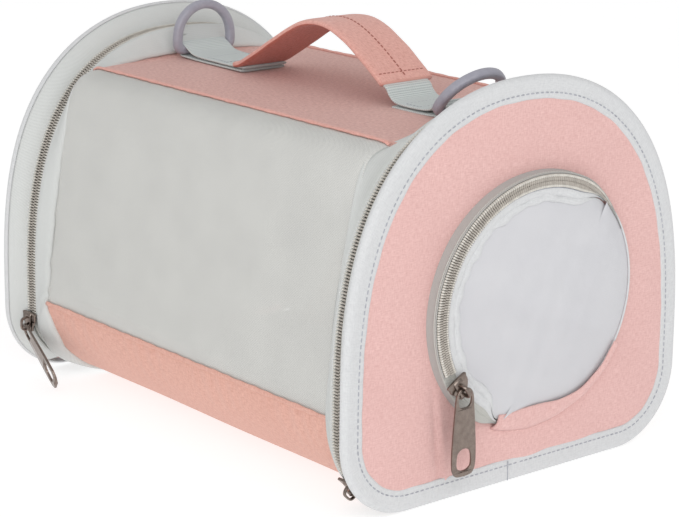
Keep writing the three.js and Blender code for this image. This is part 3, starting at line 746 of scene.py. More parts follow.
def bars(centres, across, outwards, length, height, width):
    """Points and faces of one small rounded bar at every centre: it lies along across, is height thick
    outwards and width thick in the third direction."""
    third = unit(np.cross(across, outwards))
    points = []
    for place, size in BAR_RINGS:
        for a in np.linspace(0, math.tau, BAR_SIDES, endpoint=False):
            points.append(centres + across * (place * length / 2)
                          + outwards * (math.sin(a) * size * height / 2)
                          + third * (math.cos(a) * size * width / 2))
    points = np.stack(points, 1)
    rings, around = np.arange(len(BAR_RINGS) - 1) * BAR_SIDES, np.arange(BAR_SIDES)
    onward = (around + 1) % BAR_SIDES
    one = [[r + k, r + n, r + BAR_SIDES + n, r + BAR_SIDES + k]
           for r in rings for k, n in zip(around, onward)]
    cap = np.array([around[::-1], rings[-1] + BAR_SIDES + around])
    starts = np.arange(len(centres))[:, None, None] * points.shape[1]
    quads = (np.array(one)[None] + starts).reshape(-1, 4).tolist()
    return points.reshape(-1, 3), quads + (cap[None] + starts).reshape(-1, BAR_SIDES).tolist()


def bars_piece(name, centres, across, outwards, size, material, body, nodes=()):
    """One piece that holds a whole row of bars; size is (length, height, width)."""
    points, faces = bars(centres, across, outwards, *size)
    return place_piece(new_piece(name, points, faces, material, outward=True), body, nodes)


def zip_row(name, middle, across, outwards, body, node, size=1.0):
    """One side of a zip. across points away from the teeth's middle line: brown turns by the line, pale
    beads where each turn bends over at the outer side."""
    bars_piece(name, middle + across * 0.95 * size, across, outwards, (2.0 * size, 1.35, 0.85), zip_nylon,
               body, [node])
    bars_piece(name + "_beads", middle + across * 2.15 * size, across, outwards, (1.15 * size, 1.7, 0.95),
               zip_bead, body)


def tangents(path, closed=False):
    """Unit tangents of a path."""
    if closed:
        return unit(np.roll(path, -1, 0) - np.roll(path, 1, 0))
    return unit(np.gradient(path, axis=0))


ZIP_START = {1: 5.15, -1: 7.0}       # station where each end zip's rows begin
ZIP_STOP = LOOP - 3.3
CORD_OFF, CORD_R = 4.2, 0.32         # the cord beside the teeth
for side, end in ((1, "front"), (-1, "rear")):
    length = outline_length(WIRE, ZIP_START[side], ZIP_STOP)
    count = int(length / TOOTH_PITCH)
    stations = even_stations(WIRE, 2 * count + 1, ZIP_START[side], ZIP_STOP)
    for row, owner, way in ((0, "bag", -1), (1, "front_door" if side > 0 else "rear_door", 1)):
        name = "body" if way < 0 else "door"
        picked = stations[row::2]
        path = np.column_stack([np.full(len(picked), side * ZIP_X), arch(WIRE, -0.15, picked)])
        across = np.tile([float(side * way), 0, 0], (len(path), 1))
        outwards = turned_out(np.cross(tangents(path), across), path)
        zip_row(f"{end}_{name}_zip_row", path, across, outwards, owner, f"{end}_{name}_coil", TOOTH_SIZE)
        low, high = (TAPE_IN, ZIP_X - TAPE_GAP) if way < 0 else (ZIP_X + TAPE_GAP, TAPE_OUT)
        flat = hoop([(low, WIRE, 1.2), (high, WIRE, 1.0), (high, WIRE, 1.7), (low, WIRE, 2.0)],
                    even_stations(WIRE, 300, 3, LOOP - 3), side)
        tape = surface(f"{end}_{name}_zip_tape", flat, tape_cloth, wrap_v=True, caps=True)
        place_piece(tape, owner, [f"{end}_{name}_tape"])
        line = tube_round(WIRE, ZIP_X + way * CORD_OFF, 0.3, CORD_R, side, 300, 3.2, LOOP - 3.2, 6)
        cord = surface(f"{end}_{name}_zip_cord", line, pale_thread, wrap_v=True, caps=True)
        place_piece(cord, owner)
    print(f"{end} zip: {length:.0f} mm, {count} turns each side")

# %% [markdown]
# ## End doors: face, lining, gusset and binding
# The face of a door is cloth stretched over a stiff board, so it is nearly flat, with a slight crown. The
# front one has a round hole for the window, so its grid is polar: rays from the window's centre, from the
# hole's rim out to the arch. A narrow wall of cloth, the gusset, joins the face to the zip, and a folded
# binding covers the seam.

# %% Door faces
WINDOW_Y, WINDOW_Z = 6.0, 74.2
WIDE, TALL = 1.022, 0.965      # the window is a circle a little wider than tall
FACE_X, FACE_INSET, FACE_THICK = 120.5, 1.9, 0.9
CREASE_Y, CREASE_TOP, CREASE_DEPTH = -44.0, 52.0, 1.2
HOLE_R = 50.6


def reach(centre, angles, inset):
    """Distance from a centre to the panel's outline in each direction, read off a dense outline."""
    outline = arch(PANEL, inset, np.linspace(0, LOOP, 6000))
    away = outline - centre
    direction = np.unwrap(np.arctan2(away[:, 1], away[:, 0]))
    order = np.argsort(direction)
    return np.interp(angles, direction[order], np.linalg.norm(away, axis=1)[order], period=math.tau)


def face_points(side, centre, hole):
    """Rays (angle) by steps from hole to outline; x is a low crown, with one soft crease beside the pull
    tab."""
    angles = np.linspace(0, math.tau, 240, endpoint=False)
    share = np.linspace(0, 1, 40)
    outer = reach(np.array(centre), angles, FACE_INSET)
    rim = hole / np.sqrt((np.cos(angles) / WIDE) ** 2 + (np.sin(angles) / TALL) ** 2)[:, None]
    r = rim + (outer[:, None] - rim) * share
    y = centre[0] + r * np.cos(angles)[:, None]
    z = centre[1] + r * np.sin(angles)[:, None]
    soft = 0.25 * np.sin(0.07 * y + 0.4) * np.sin(0.06 * z + 1.1) + 0.12 * np.sin(0.19 * y + 0.11 * z)
    x = FACE_X + (0.55 + soft) * np.sin(np.pi * share) ** 0.7
    if hole:
        drift = CREASE_Y + 0.12 * (30 - z)
        depth = np.exp(-((y - drift) / 1.3) ** 2) - 0.8 * np.exp(-((y - drift - 2.6) / 1.8) ** 2)
        fade = np.clip((CREASE_TOP - z) / 26, 0, 1) * np.clip((z - 6) / 6, 0, 1)
        x = x - CREASE_DEPTH * depth * fade
    return np.stack([side * x, y, z], -1)


def weld(piece, side):
    """Merges points that fall together, as at the pole of a polar grid, and turns the faces to the side's
    end."""
    whole = bmesh.new()
    whole.from_mesh(piece.data)
    bmesh.ops.remove_doubles(whole, verts=whole.verts, dist=1e-6)
    whole.normal_update()
    if sum(face.normal.x for face in whole.faces) * side < 0:
        bmesh.ops.reverse_faces(whole, faces=whole.faces)
    whole.to_mesh(piece.data)
    whole.free()


def flat_uv(piece, first, second):
    """UV in centimetres from two axes of the frame, for a piece that is nearly flat."""
    mesh = piece.data
    place = np.zeros(len(mesh.vertices) * 3, np.float32)
    mesh.vertices.foreach_get("co", place)
    corner = np.zeros(len(mesh.loops), np.int32)
    mesh.loops.foreach_get("vertex_index", corner)
    layer = mesh.uv_layers.get("cloth") or mesh.uv_layers.new(name="cloth")
    layer.data.foreach_set("uv", (place.reshape(-1, 3)[corner][:, [first, second]] * 100).ravel())


def relined(node):
    """Gives a CAD node that stays visible the plain grey lining."""
    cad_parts[node].data.materials.clear()
    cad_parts[node].data.materials.append(grey_lining)


for side, end, hole, centre in ((1, "front", HOLE_R, (WINDOW_Y, WINDOW_Z)), (-1, "rear", 0.0, (0.0, 78.0))):
    face = surface(f"{end}_face", face_points(side, centre, hole), pink_door, wrap_u=True, flip=side < 0)
    weld(face, side)
    flat_uv(face, 1, 2)
    wall = face.modifiers.new("wall", "SOLIDIFY")
    wall.thickness, wall.offset = FACE_THICK * MM, -1
    place_piece(face, f"{end}_door", [f"{end}_panel"])
    relined(f"{end}_board")
print("door faces made")

# %% [markdown]
# The gusset is a soft roll between the wire's outline beside the zip and the outer outline of the face:
# the straight line between the two, pushed outwards by a half sine. Its cloth shows fine slanting ribs.

# %% Gusset and binding
BINDING = [(118.0, 0.6), (119.0, -0.35), (120.3, -0.2), (121.3, 0.9), (121.5, 2.6), (121.25, 5.5),
           (121.2, 8.2), (120.9, 9.2), (120.5, 8.6), (120.6, 5), (120.2, 1.9), (119.2, 1.3)]
GUSSET_START, GUSSET_STOP = 3.3, LOOP - 3.3
GUSSET_IN, GUSSET_OUT, GUSSET_THICK, GUSSET_BULGE = 112.0, 118.0, 1.1, 1.3
STITCH_X, STITCH_INSET = 121.3, 6.6


def gusset_points(side):
    """Outer skin from zip to face and back along the inside, one thickness deeper."""
    stations = even_stations(PANEL, 360, GUSSET_START, GUSSET_STOP)
    share = np.linspace(0, 1, 12)
    layers = []
    for depth, steps in ((0.0, share), (GUSSET_THICK, share[::-1])):
        inner = np.column_stack([np.full(len(stations), GUSSET_IN), arch(WIRE, depth - 0.2, stations)])
        outer = np.column_stack([np.full(len(stations), GUSSET_OUT), arch(PANEL, depth + 0.5, stations)])
        across = outer - inner
        out = turned_out(np.cross(np.gradient(outer, axis=0), across), outer)
        upper = np.clip((np.minimum(stations, LOOP - stations) - CORNER_END) / 2.5, 0.1, 1)[:, None]
        bulge = GUSSET_BULGE * upper * np.sin(np.pi * steps) ** 0.8
        layers.append(inner[:, None] + across[:, None] * steps[:, None] + out[:, None] * bulge[..., None])
    points = np.concatenate(layers, 1)
    points[..., 0] *= side
    return points


def binding_points(side):
    """The folded strip round the edge: one closed loop of (x, inset), its inner edge a little uneven."""
    stations = even_stations(PANEL, 720, closed=True)
    section = smooth_path(BINDING, 30, closed=True)
    length = np.linspace(0, math.tau, len(stations), endpoint=False)
    uneven = 0.1 * np.sin(23 * length) + 0.08 * np.sin(41 * length + 2)
    share = np.clip((section[:, 1] - 4) / 5, 0, 1)
    inset = section[:, 1] + share * uneven[:, None]
    yz = np.stack([arch(PANEL, inset[:, k], stations) for k in range(len(section))], 1)
    x = np.broadcast_to(section[:, 0], inset.shape)
    return np.concatenate([side * x[..., None], yz], -1)


def stitch_row(name, path, normal, material, body, pitch=2.6, length=1.7, thick=0.42):
    """Thread showing above the cloth: short bars along a path, evenly spaced, half sunk into the cloth."""
    steps = np.concatenate([[0], np.cumsum(np.linalg.norm(np.diff(path, axis=0), axis=1))])
    at = np.arange(pitch / 2, steps[-1], pitch)
    centres, tangent, out = (
        np.stack([np.interp(at, steps, values[:, k]) for k in range(3)], -1)
        for values in (path, tangents(path), np.broadcast_to(normal, path.shape)))
    tangent = unit(tangent)
    out = unit(out - tangent * (out * tangent).sum(-1, keepdims=True))
    bars_piece(name, centres, tangent, out, (length, thick, thick * 1.3), material, body)


for side, end in ((1, "front"), (-1, "rear")):
    gusset = surface(f"{end}_gusset_wall", gusset_points(side), grey_rib, wrap_v=True, caps=True)
    place_piece(gusset, f"{end}_door", [f"{end}_gusset"])
    edge = surface(f"{end}_edge_binding", binding_points(side), grey_binding, wrap_u=True, wrap_v=True)
    place_piece(edge, f"{end}_door", [f"{end}_binding"])
    stations = even_stations(PANEL, 900, 0.0, LOOP)
    row = np.column_stack([np.full(len(stations), side * STITCH_X), arch(PANEL, STITCH_INSET, stations)])
    stitch_row(f"{end}_binding_stitches", row, [float(side), 0, 0], thread, f"{end}_door")
JOIN_Y = -5.4
join_path = np.array([[121.5, JOIN_Y, z] for z in np.linspace(1.4, 9.8, 12)])
stitch_row("front_binding_join", join_path, [1.0, 0, 0], thread, "front_door", 2.1, 2.2, 0.35)
print("gussets and bindings made")

# %% [markdown]
# ## The round window
# A raised cloth rim stands round the upper left of the window and carries the zip. The flap inside the
# zip is fine ribbed net with a soft padded edge, and it folds about a straight line at the lower right,
# beyond which the same net is sewn down under a fold of pink cloth. The rim, the tapes and the roll are
# sections turned about the window's axis.

# %% Window
FOLD_ANGLE, FOLD_DISTANCE = -32.5, 11.5      # direction and distance of the fold from the window's centre
FLAP_START, FLAP_STOP, FLAP_EASE = 45.5, 249.5, (22, 16)      # the flap's arc in degrees, inside the fold
NET_RIM = np.array([122.0, 51.8])      # (x, radius) of the net's edge, where the rim and the tapes run out


def on_window(x, radius, degrees):
    """Points at a radius and an angle round the window's outline."""
    a = np.radians(degrees)
    y, z = WINDOW_Y + radius * WIDE * np.cos(a), WINDOW_Z + radius * TALL * np.sin(a)
    return np.stack(np.broadcast_arrays(x, y, z), -1)


def tapering(degrees, first, last, ease):
    """1 along most of an arc, easing to 0.1 over ease = (degrees at the first end, degrees at the last
    end)."""
    share = np.minimum((degrees - first) / max(ease[0], 0.01), (last - degrees) / max(ease[1], 0.01))
    share = np.clip(share, 0, 1)
    return 0.1 + 0.9 * share * share * (3 - 2 * share)


def turned(section, first, last, steps, ease=(0, 0)):
    """A closed loop of (x, radius) carried round the window; at its ends it shrinks towards the net's
    edge."""
    angle = np.linspace(first, last, steps)
    size = tapering(angle, first, last, ease) if any(ease) else np.ones(steps)
    points = NET_RIM + (np.asarray(section, float) - NET_RIM) * size[:, None, None]
    return on_window(points[..., 0], points[..., 1], angle[:, None])


def window_strip(name, section, first, last, material, body, nodes=(), ease=(0, 0)):
    """A turned strip as a piece."""
    points = turned(smooth_path(section, 18, closed=True), first, last, 160, ease)
    return place_piece(surface(name, points, material, wrap_v=True, caps=True), body, nodes)


RIM = [(120.3, 54.6), (121.6, 54.3), (123.4, 54.0), (124.6, 53.7), (125.0, 52.9), (124.2, 52.2),
       (120.5, 52.6)]
window_strip("window_rim", RIM, 26, 252, shaded_rim_cloth, "front_door", ["window_wall"],
             ease=(36, 22))
FLAP_EDGE = [(124.0, 48.6), (125.3, 47.8), (125.6, 46.0), (125.1, 44.4), (123.9, 43.8), (123.5, 46.0)]
window_strip("window_flap_edge", FLAP_EDGE, FLAP_START, FLAP_STOP, grey_binding, "window_flap",
             ["window_flap_tape"], ease=FLAP_EASE)


def wavy_roll(first, last, steps, radius, thick, x, ease):
    """A padded roll round the window whose radius wanders, as gathered cloth does."""
    degrees = np.linspace(first, last, steps)
    angle = np.radians(degrees)
    drift = 0.35 * np.sin(9 * angle) + 0.3 * np.sin(17 * angle + 1) + 0.22 * np.sin(29 * angle + 2)
    taper = tapering(degrees, first, last, ease)
    size = thick * (1 + 0.16 * np.sin(13 * angle + 0.5) + 0.12 * np.sin(31 * angle)) * taper
    turn = np.linspace(0, math.tau, 14, endpoint=False)
    middle = NET_RIM[1] - 0.8 + (radius + drift - NET_RIM[1] + 0.8) * taper
    r = middle[:, None] + size[:, None] * np.cos(turn) * 1.25
    level = (NET_RIM[0] + (x - NET_RIM[0]) * taper)[:, None] + size[:, None] * np.sin(turn) * 0.8
    return on_window(level, r, degrees[:, None])


roll = wavy_roll(FLAP_START, FLAP_STOP, 260, 43.2, 1.35, 124.5, FLAP_EASE)
piping = surface("window_flap_roll", roll, grey_binding, wrap_v=True, caps=True)
place_piece(piping, "window_flap", ["window_flap_piping"])
TEETH_X, TEETH_R = 125.6, 50.65
for name, way, owner, node in (("outer", 1, "front_door", "window_outer_coil"),
                               ("flap", -1, "window_flap", "window_flap_coil")):
    begin, ease = (34, 30) if way > 0 else (FLAP_START, FLAP_EASE[0])
    degrees = np.arange(begin + 0.25 * ease, 204, 1.15) + (0.57 if way < 0 else 0)
    size = tapering(degrees, begin, 300, (ease, 0))
    x, radius = (NET_RIM + (np.array([TEETH_X, TEETH_R]) - NET_RIM) * size[:, None]).T
    centres = on_window(x, radius, degrees)
    ray = on_window(0.0, 1.0, degrees) - [0, WINDOW_Y, WINDOW_Z]
    ray = ray * [0, 1, 1] * size[:, None]
    zip_row(f"window_{name}_zip_row", centres, ray * way, np.tile([1.0, 0, 0], (len(ray), 1)), owner, node)
    turn = np.linspace(0, math.tau, 6, endpoint=False)
    section = np.stack([125.2 + 0.3 * np.cos(turn), TEETH_R + way * 3.1 + 0.3 * np.sin(turn)], -1)
    cord = surface(f"window_{name}_zip_cord", turned(section, begin, 206, 120, (ease, 0)),
                   shaded_rim_cloth if way > 0 else thread, wrap_v=True, caps=True)
    place_piece(cord, owner)
    band = [(124.4, TEETH_R + way * 0.1), (124.9, TEETH_R + way * 0.2), (124.9, TEETH_R + way * 3.2),
            (124.2, TEETH_R + way * 3.4)]
    window_strip(f"window_{name}_zip_tape", band, begin, FLAP_STOP, tape_cloth, owner,
                 ease=(ease, FLAP_EASE[1]))
print("window rim, zip rows and roll made")

# %% [markdown]
# The net of the window is domed a little, as soft net is when its edge is padded. It is laid out between
# the straight fold line and the round edge: one parameter runs along the fold, the other from the fold to
# the edge.

# %% Window net
NET_CROWN, NET_EDGE_X = 1.7, 123.7
NET_TUCK, TUCK_ANGLE, TUCK_WIDTH = 6.0, -90.0, 24      # how far the net is tucked under, and where
toward = np.array([math.cos(math.radians(FOLD_ANGLE)), math.sin(math.radians(FOLD_ANGLE))])
sideways = np.array([-toward[1], toward[0]])


def tuck(degrees, depth):
    """How far the net is drawn in under the pink fold: a bell of this depth about one angle."""
    return depth * np.exp(-((degrees - TUCK_ANGLE) / TUCK_WIDTH) ** 2)


def window_net_points(radius, gap, way, drop, rows, columns, reach_share=1.0):
    """Points between the fold line and a circle. way is 1 beyond the fold and -1 on the flap's side; drop
    lets the outer edge down towards the panel, and slow ripples die out at that edge."""
    line = FOLD_DISTANCE + way * gap
    half = math.acos(line / radius)
    u, v = np.linspace(-reach_share, reach_share, columns), np.linspace(0, 1, rows)
    u, v = np.meshgrid(u, v, indexing="ij")
    along_fold = math.sqrt(radius ** 2 - line ** 2) * u
    start = toward * line + sideways * along_fold[..., None]
    base = math.radians(FOLD_ANGLE)
    turn = base + half * u if way > 0 else base + math.pi - (math.pi - half) * u
    degrees = np.degrees(turn)
    if way > 0:
        taper = np.ones_like(turn)
        outer = radius - tuck(degrees, NET_TUCK)
    else:
        taper = tapering(degrees, FLAP_START, FLAP_STOP, FLAP_EASE)
        outer = NET_RIM[1] - 0.5 + (radius - NET_RIM[1] + 0.5) * taper
    edge = np.stack([np.cos(turn), np.sin(turn)], -1) * outer[..., None]
    yz = start * (1 - v[..., None]) + edge * v[..., None]
    r = np.linalg.norm(yz, axis=-1)
    y, z = yz[..., 0], yz[..., 1]
    ripple = 0.22 * np.sin(0.16 * y + 0.35 * z) + 0.12 * np.sin(0.5 * y - 0.2 * z)
    x = NET_EDGE_X + NET_CROWN * (1 - (r / 52) ** 2) + ripple * (1 - v) - (drop + 1.9 * (1 - taper)) * v ** 2
    return np.concatenate([x[..., None], yz * [WIDE, TALL] + [WINDOW_Y, WINDOW_Z]], -1)


flap_net = surface("window_flap_net", window_net_points(43.4, 0.25, -1, 0.0, 40, 80), window_net, flip=True)
flat_uv(flap_net, 1, 2)
place_piece(flap_net, "window_flap", ["window_flap_mesh"])
sewn_net = surface("window_sewn_net", window_net_points(52.3, -0.25, 1, 2.2, 30, 60, 0.99), window_net)
flat_uv(sewn_net, 1, 2)
place_piece(sewn_net, "front_door", ["window_sewn_mesh"])
degrees, share = np.meshgrid(np.linspace(-112, -30, 90), np.linspace(0, 1, 12), indexing="ij")
inner = 51.2 - tuck(degrees, NET_TUCK + 0.6)
radius = inner + (54.4 - inner) * share
level = 122.9 + 0.35 * np.sin(np.pi * share) - 2.3 * share ** 5 + 0.15 * np.sin(0.4 * degrees)
fold = surface("window_pink_fold", on_window(level, radius, degrees), pink_door, thick=0.7)
flat_uv(fold, 1, 2)
place_piece(fold, "front_door", ["window_lip"])
turn = np.linspace(0, math.tau, 8, endpoint=False)
net_hem = np.array([121.9, 52.5]) + 0.42 * np.stack([np.cos(turn), np.sin(turn)], -1)
window_strip("window_net_hem", net_hem, -48, 44, grey_binding, "front_door", ease=(10, 10))
print("window net made")

# %% [markdown]
# ## Sliders and pull tabs
# A slider's top plate and a pull tab are flat stampings with rounded edges. Each is drawn as a flat
# outline with its holes, given a thickness and a small bevel, and then stood in its place by three
# directions: u across, v along, and w away from the bag. The lug over the plate is a short rounded bar
# bent into an arch.

# %% Hardware


def stamping(name, loops, thickness, bevel, frame_of):
    """A plate from closed outlines (u, v): the first is the edge, the others are holes. frame_of is
    (place, u, v)."""
    curve = bpy.data.curves.new(name, "CURVE")
    curve.dimensions, curve.fill_mode = "2D", "BOTH"
    curve.extrude, curve.bevel_depth, curve.bevel_resolution = thickness / 2 - bevel, bevel, 2
    curve.offset = -bevel
    for loop in loops:
        spline = curve.splines.new("POLY")
        spline.points.add(len(loop) - 1)
        corners = np.column_stack([loop, np.zeros(len(loop)), np.ones(len(loop))])
        spline.points.foreach_set("co", corners.ravel())
        spline.use_cyclic_u = True
    drawn = bpy.data.objects.new(name, curve)
    bpy.context.scene.collection.objects.link(drawn)
    mesh = bpy.data.meshes.new_from_object(drawn.evaluated_get(bpy.context.evaluated_depsgraph_get()))
    local = np.zeros(len(mesh.vertices) * 3)
    mesh.vertices.foreach_get("co", local)
    faces = [list(p.vertices) for p in mesh.polygons]
    bpy.data.objects.remove(drawn)
    bpy.data.curves.remove(curve)
    bpy.data.meshes.remove(mesh)
    return stand(local.reshape(-1, 3), frame_of), faces


def stand(local, frame_of):
    """Local (u, v, w) turned into the bag's millimetres; w is u cross v."""
    place, u, v = (np.array(part, float) for part in frame_of)
    u = unit(u)
    v = unit(v - u * (u @ v))
    return place + local[:, :1] * u + local[:, 1:2] * v + local[:, 2:] * np.cross(u, v)


def merged(parts):
    """Points and faces of several parts as one list."""
    points, faces, start = [], [], 0
    for p, f in parts:
        points.append(p)
        faces += [[k + start for k in face] for face in f]
        start += len(p)
    return np.concatenate(points), faces


def bent_bar(path, width, height, frame_of):
    """A bar with a rounded section along a path (v, w) in the plane u = 0."""
    path = smooth_path(path, 36)
    tangent = tangents(path)
    normal = np.stack([-tangent[:, 1], tangent[:, 0]], -1)
    turn = np.linspace(0, math.tau, 12, endpoint=False)
    a = np.sign(np.cos(turn)) * np.abs(np.cos(turn)) ** 0.7 * width / 2
    b = np.sign(np.sin(turn)) * np.abs(np.sin(turn)) ** 0.7 * height / 2
    vw = path[:, None] + normal[:, None] * b[None, :, None]
    local = np.concatenate([np.broadcast_to(a, vw.shape[:2])[..., None], vw], -1)
    faces, _ = grid_mesh(local, False, True, True)
    return stand(local.reshape(-1, 3), frame_of), faces


SLIDER_EDGE = [(-4.5, -4.4), (4.5, -4.4), (4.8, -2.6), (4.7, -0.8), (3.2, 1.6), (2.4, 3.4), (1.7, 4.4),
               (-1.7, 4.4), (-2.4, 3.4), (-3.2, 1.6), (-4.7, -0.8), (-4.8, -2.6)]
SPINE_PATH = [(-3.9, 0.9), (-3.0, 1.5), (0, 1.7), (3.0, 1.5), (3.9, 0.9)]
LUG_PATH = [(-2.2, 0.9), (-2.2, 3.3), (-1.3, 4.75), (0.6, 5.0), (2.5, 4.75), (3.4, 3.3), (3.4, 0.9)]
PULL_EDGE = [(-4.6, 4.6), (-4.0, 1.6), (-2.7, -0.1), (-1.0, -0.8), (1.0, -0.8), (2.7, -0.1), (4.0, 1.6),
             (4.6, 4.6)]
PLATE, EYE_R, EYE_V, PULL_W, PULL_T, ROOF = 1.2, 3.35, 3.9, 6.1, 1.1, 0.45


def pull_loops(tip):
    """Edge, round eye and six-sided hole of a pull tab whose far end is at v = tip."""
    tail = [(PULL_W - 0.15, tip - 14), (PULL_W, tip - 5), (5.2, tip - 1.6), (3.2, tip), (-3.2, tip),
            (-5.2, tip - 1.6), (-PULL_W, tip - 5), (-PULL_W + 0.15, tip - 14)]
    edge = smooth_path(PULL_EDGE + tail, 110, closed=True)
    turn = np.linspace(0, math.tau, 32, endpoint=False)
    c, s = np.cos(turn), np.sin(turn)
    r = EYE_R * (np.abs(c) ** 3 + np.abs(s) ** 3) ** (-1 / 3)
    eye = np.column_stack([c * r, EYE_V + s * r])
    right = [(2.6, tip - 10.2), (3.5, tip - 8.6), (3.7, tip - 4.6), (2.6, tip - 2.9)]
    hexagon = [(0, tip - 11.2)] + right + [(0, tip - 2.2)] + [(-u, v) for u, v in right[::-1]]
    return [edge, eye[::-1], smooth_path(hexagon, 44, closed=True)[::-1]]


def make_slider(name, frame_of, body, node):
    """Top plate with a shallow spine, and its lug."""
    edge = smooth_path(SLIDER_EDGE, 64, closed=True)
    plate = stamping(name, [edge], PLATE, 0.35, shifted(frame_of, PLATE / 2))
    spine = bent_bar(SPINE_PATH, 4.4, 0.9, frame_of)
    points, faces = merged([plate, spine, bent_bar(LUG_PATH, 1.5, 0.95, frame_of)])
    piece = new_piece(name, points, faces, plated_metal, outward=True)
    soften_edges(piece)
    return place_piece(piece, body, [node])


def shifted(frame_of, lift):
    """The same three directions, lifted along w."""
    place, u, v = (np.array(part, float) for part in frame_of)
    return place + np.cross(unit(u), unit(v)) * lift, u, v


def soften_edges(piece, limit=35):
    """Smooth shading that keeps sharp corners sharp: edges over a limit in degrees are marked."""
    whole = bmesh.new()
    whole.from_mesh(piece.data)
    bmesh.ops.remove_doubles(whole, verts=whole.verts, dist=1e-7)
    for edge in whole.edges:
        edge.smooth = len(edge.link_faces) == 2 and edge.calc_face_angle(0) < math.radians(limit)
    whole.to_mesh(piece.data)
    whole.free()


def make_pull(name, tip, frame_of, body, node):
    """A stamped tab with bevelled edges. Both faces are cut along the middle line, which is then raised
    to a low roof."""
    place, u, v = (np.array(part, float) for part in frame_of)
    u, w = unit(u), np.cross(unit(u), unit(v))
    points, faces = stamping(name, pull_loops(tip), PULL_T, 0.32, frame_of)
    piece = new_piece(name, points, faces, plated_metal, outward=True)
    middle = (place + [MIDDLE_X, 0, 0]) * MM
    whole = bmesh.new()
    whole.from_mesh(piece.data)
    everything = whole.verts[:] + whole.edges[:] + whole.faces[:]
    bmesh.ops.bisect_plane(whole, geom=everything, plane_co=middle, plane_no=u)
    whole.to_mesh(piece.data)
    whole.free()
    corners = np.zeros(len(piece.data.vertices) * 3)
    piece.data.vertices.foreach_get("co", corners)
    corners = corners.reshape(-1, 3)
    side, height = (corners - middle) @ u, (corners - middle) @ w
    ridge = (np.abs(side) < 1e-6) & (np.abs(height) > 0.4 * PULL_T * MM)
    corners[ridge] += w * ROOF * MM * np.sign(height[ridge])[:, None]
    piece.data.vertices.foreach_set("co", corners.ravel())
    soften_edges(piece, 5)
    return place_piece(piece, body, [node])


def spokes(angle):
    """Unit vectors away from a circle's middle and along the circle, at an angle in the end's plane."""
    return (np.array([0, math.cos(angle), math.sin(angle)]), np.array([0, -math.sin(angle), math.cos(angle)]))


ZIP_R, SLIDER_ANGLE, SLIDER_X, LUG_RISE = 50.6, math.radians(212), 127.0, 2.7
slider_ray, slider_way = spokes(SLIDER_ANGLE)
window_seat = on_window(SLIDER_X, ZIP_R, math.degrees(SLIDER_ANGLE))
make_slider("window_slider_body", (window_seat, slider_ray, slider_way), "window_slider", "window_slider")
window_eye = window_seat + [LUG_RISE, 0.4, 0.2] + slider_way * 0.3
make_pull("window_pull_tab", 35, (window_eye, (0, -1, 0), (0, 0, -1)), "window_pull", "window_pull")
CORNER_ANGLE, CORNER_R = math.radians(226), 28.25
corner_ray, corner_way = spokes(CORNER_ANGLE)
corner_mid = np.array([ZIP_X, WIRE["corner"] - WIRE["width"], WIRE["corner"] + WIRE["floor"]])
make_slider("front_slider_body", (corner_mid + corner_ray * CORNER_R, (-1, 0, 0), corner_way), "front_slider",
            "front_slider")
front_eye = corner_mid + corner_ray * (CORNER_R + LUG_RISE) + corner_way * 1.4
lying, _ = spokes(math.radians(-15))
make_pull("front_pull_tab", 31, (front_eye, (-1, 0, 0), lying), "front_pull", "front_pull")
REAR_SEAT = np.array([-ZIP_X, -83.8, 27.5])
make_slider("rear_slider_body", (REAR_SEAT, (-1, 0, 0), (0, 0, -1)), "rear_slider", "rear_slider")
tilt, roll = math.radians(51), math.radians(20)
rear_along = (math.sin(tilt), 0, -math.cos(tilt))
rear_across = (math.cos(roll) * math.cos(tilt), -math.sin(roll), math.cos(roll) * math.sin(tilt))
rear_eye = REAR_SEAT + [-1.3, -2.65, -2.2]
make_pull("rear_pull_tab", 33, (rear_eye, rear_across, rear_along), "rear_pull", "rear_pull")
print("sliders and pulls made")

# %% [markdown]
# ## Webbing, rings and handle
# All three are a section carried along a path in the bag's middle plane. The webbing is a flat tape that
# runs under the ring's straight bar, round it and back on itself; its free end is sewn under the foot of
# the handle. The handle is a strap with a seam down its middle, and its underside is given a darker
# red-brown than its pink top. Its rear foot lies sewn down on the bag.

# %% Webbing, rings, handle
RING_Z, RING_WIRE, RING_HALF, RING_LEG = 146.9, 2.1, 14.6, 5.0
REAR_RING_X, FRONT_RING_X, FRONT_LEAN = -90.0, 84.5, math.radians(40)
WEB_WIDTH, WEB_THICK, GRIP_WIDTH, GRIP_THICK = 24.0, 1.25, 28.0, 2.9
UNDERSIDE_BELOW = -0.55      # faces lower than this under the handle's middle surface get the darker red-brown underside colour
TURN_R = 3.05      # radius at which the webbing's middle turns round the ring's bar


def strap(name, path, width, thick, material, square=6.0, groove=0.0, steps=160, sides=56, sway=0.0):
    """A flat section |a|^square + |b|^3 = 1 carried along a path (x, z); groove sinks the middle of both
    faces."""
    path = smooth_path(path, steps)
    tangent = tangents(path)
    normal = np.stack([-tangent[:, 1], tangent[:, 0]], -1)
    turn = np.linspace(0, math.tau, sides, endpoint=False) + math.pi / sides
    c, s = np.cos(turn), np.sin(turn)
    across = np.sign(c) * np.abs(c) ** (2 / square) * width / 2
    up = np.sign(s) * np.abs(s) ** (2 / 3) * thick / 2
    up = up - np.sign(s) * groove * np.exp(-(across / 0.9) ** 2)
    length = np.linspace(0, 1, steps)
    edge = 1 + sway * (np.sin(31 * length) + 0.7 * np.sin(53 * length + 1))
    xz = path[:, None] + normal[:, None] * up[None, :, None]
    points = np.stack([xz[..., 0], np.broadcast_to(across, xz.shape[:2]) * edge[:, None], xz[..., 1]], -1)
    return surface(name, points, material, wrap_v=True, caps=True), path, normal


def round_bar(x, way, first, last):
    """Points of an arc round the ring's bar, in the middle plane."""
    a = np.radians(np.linspace(first, last, 10))
    return [(x + way * TURN_R * math.cos(t), RING_Z + TURN_R * math.sin(t)) for t in a]


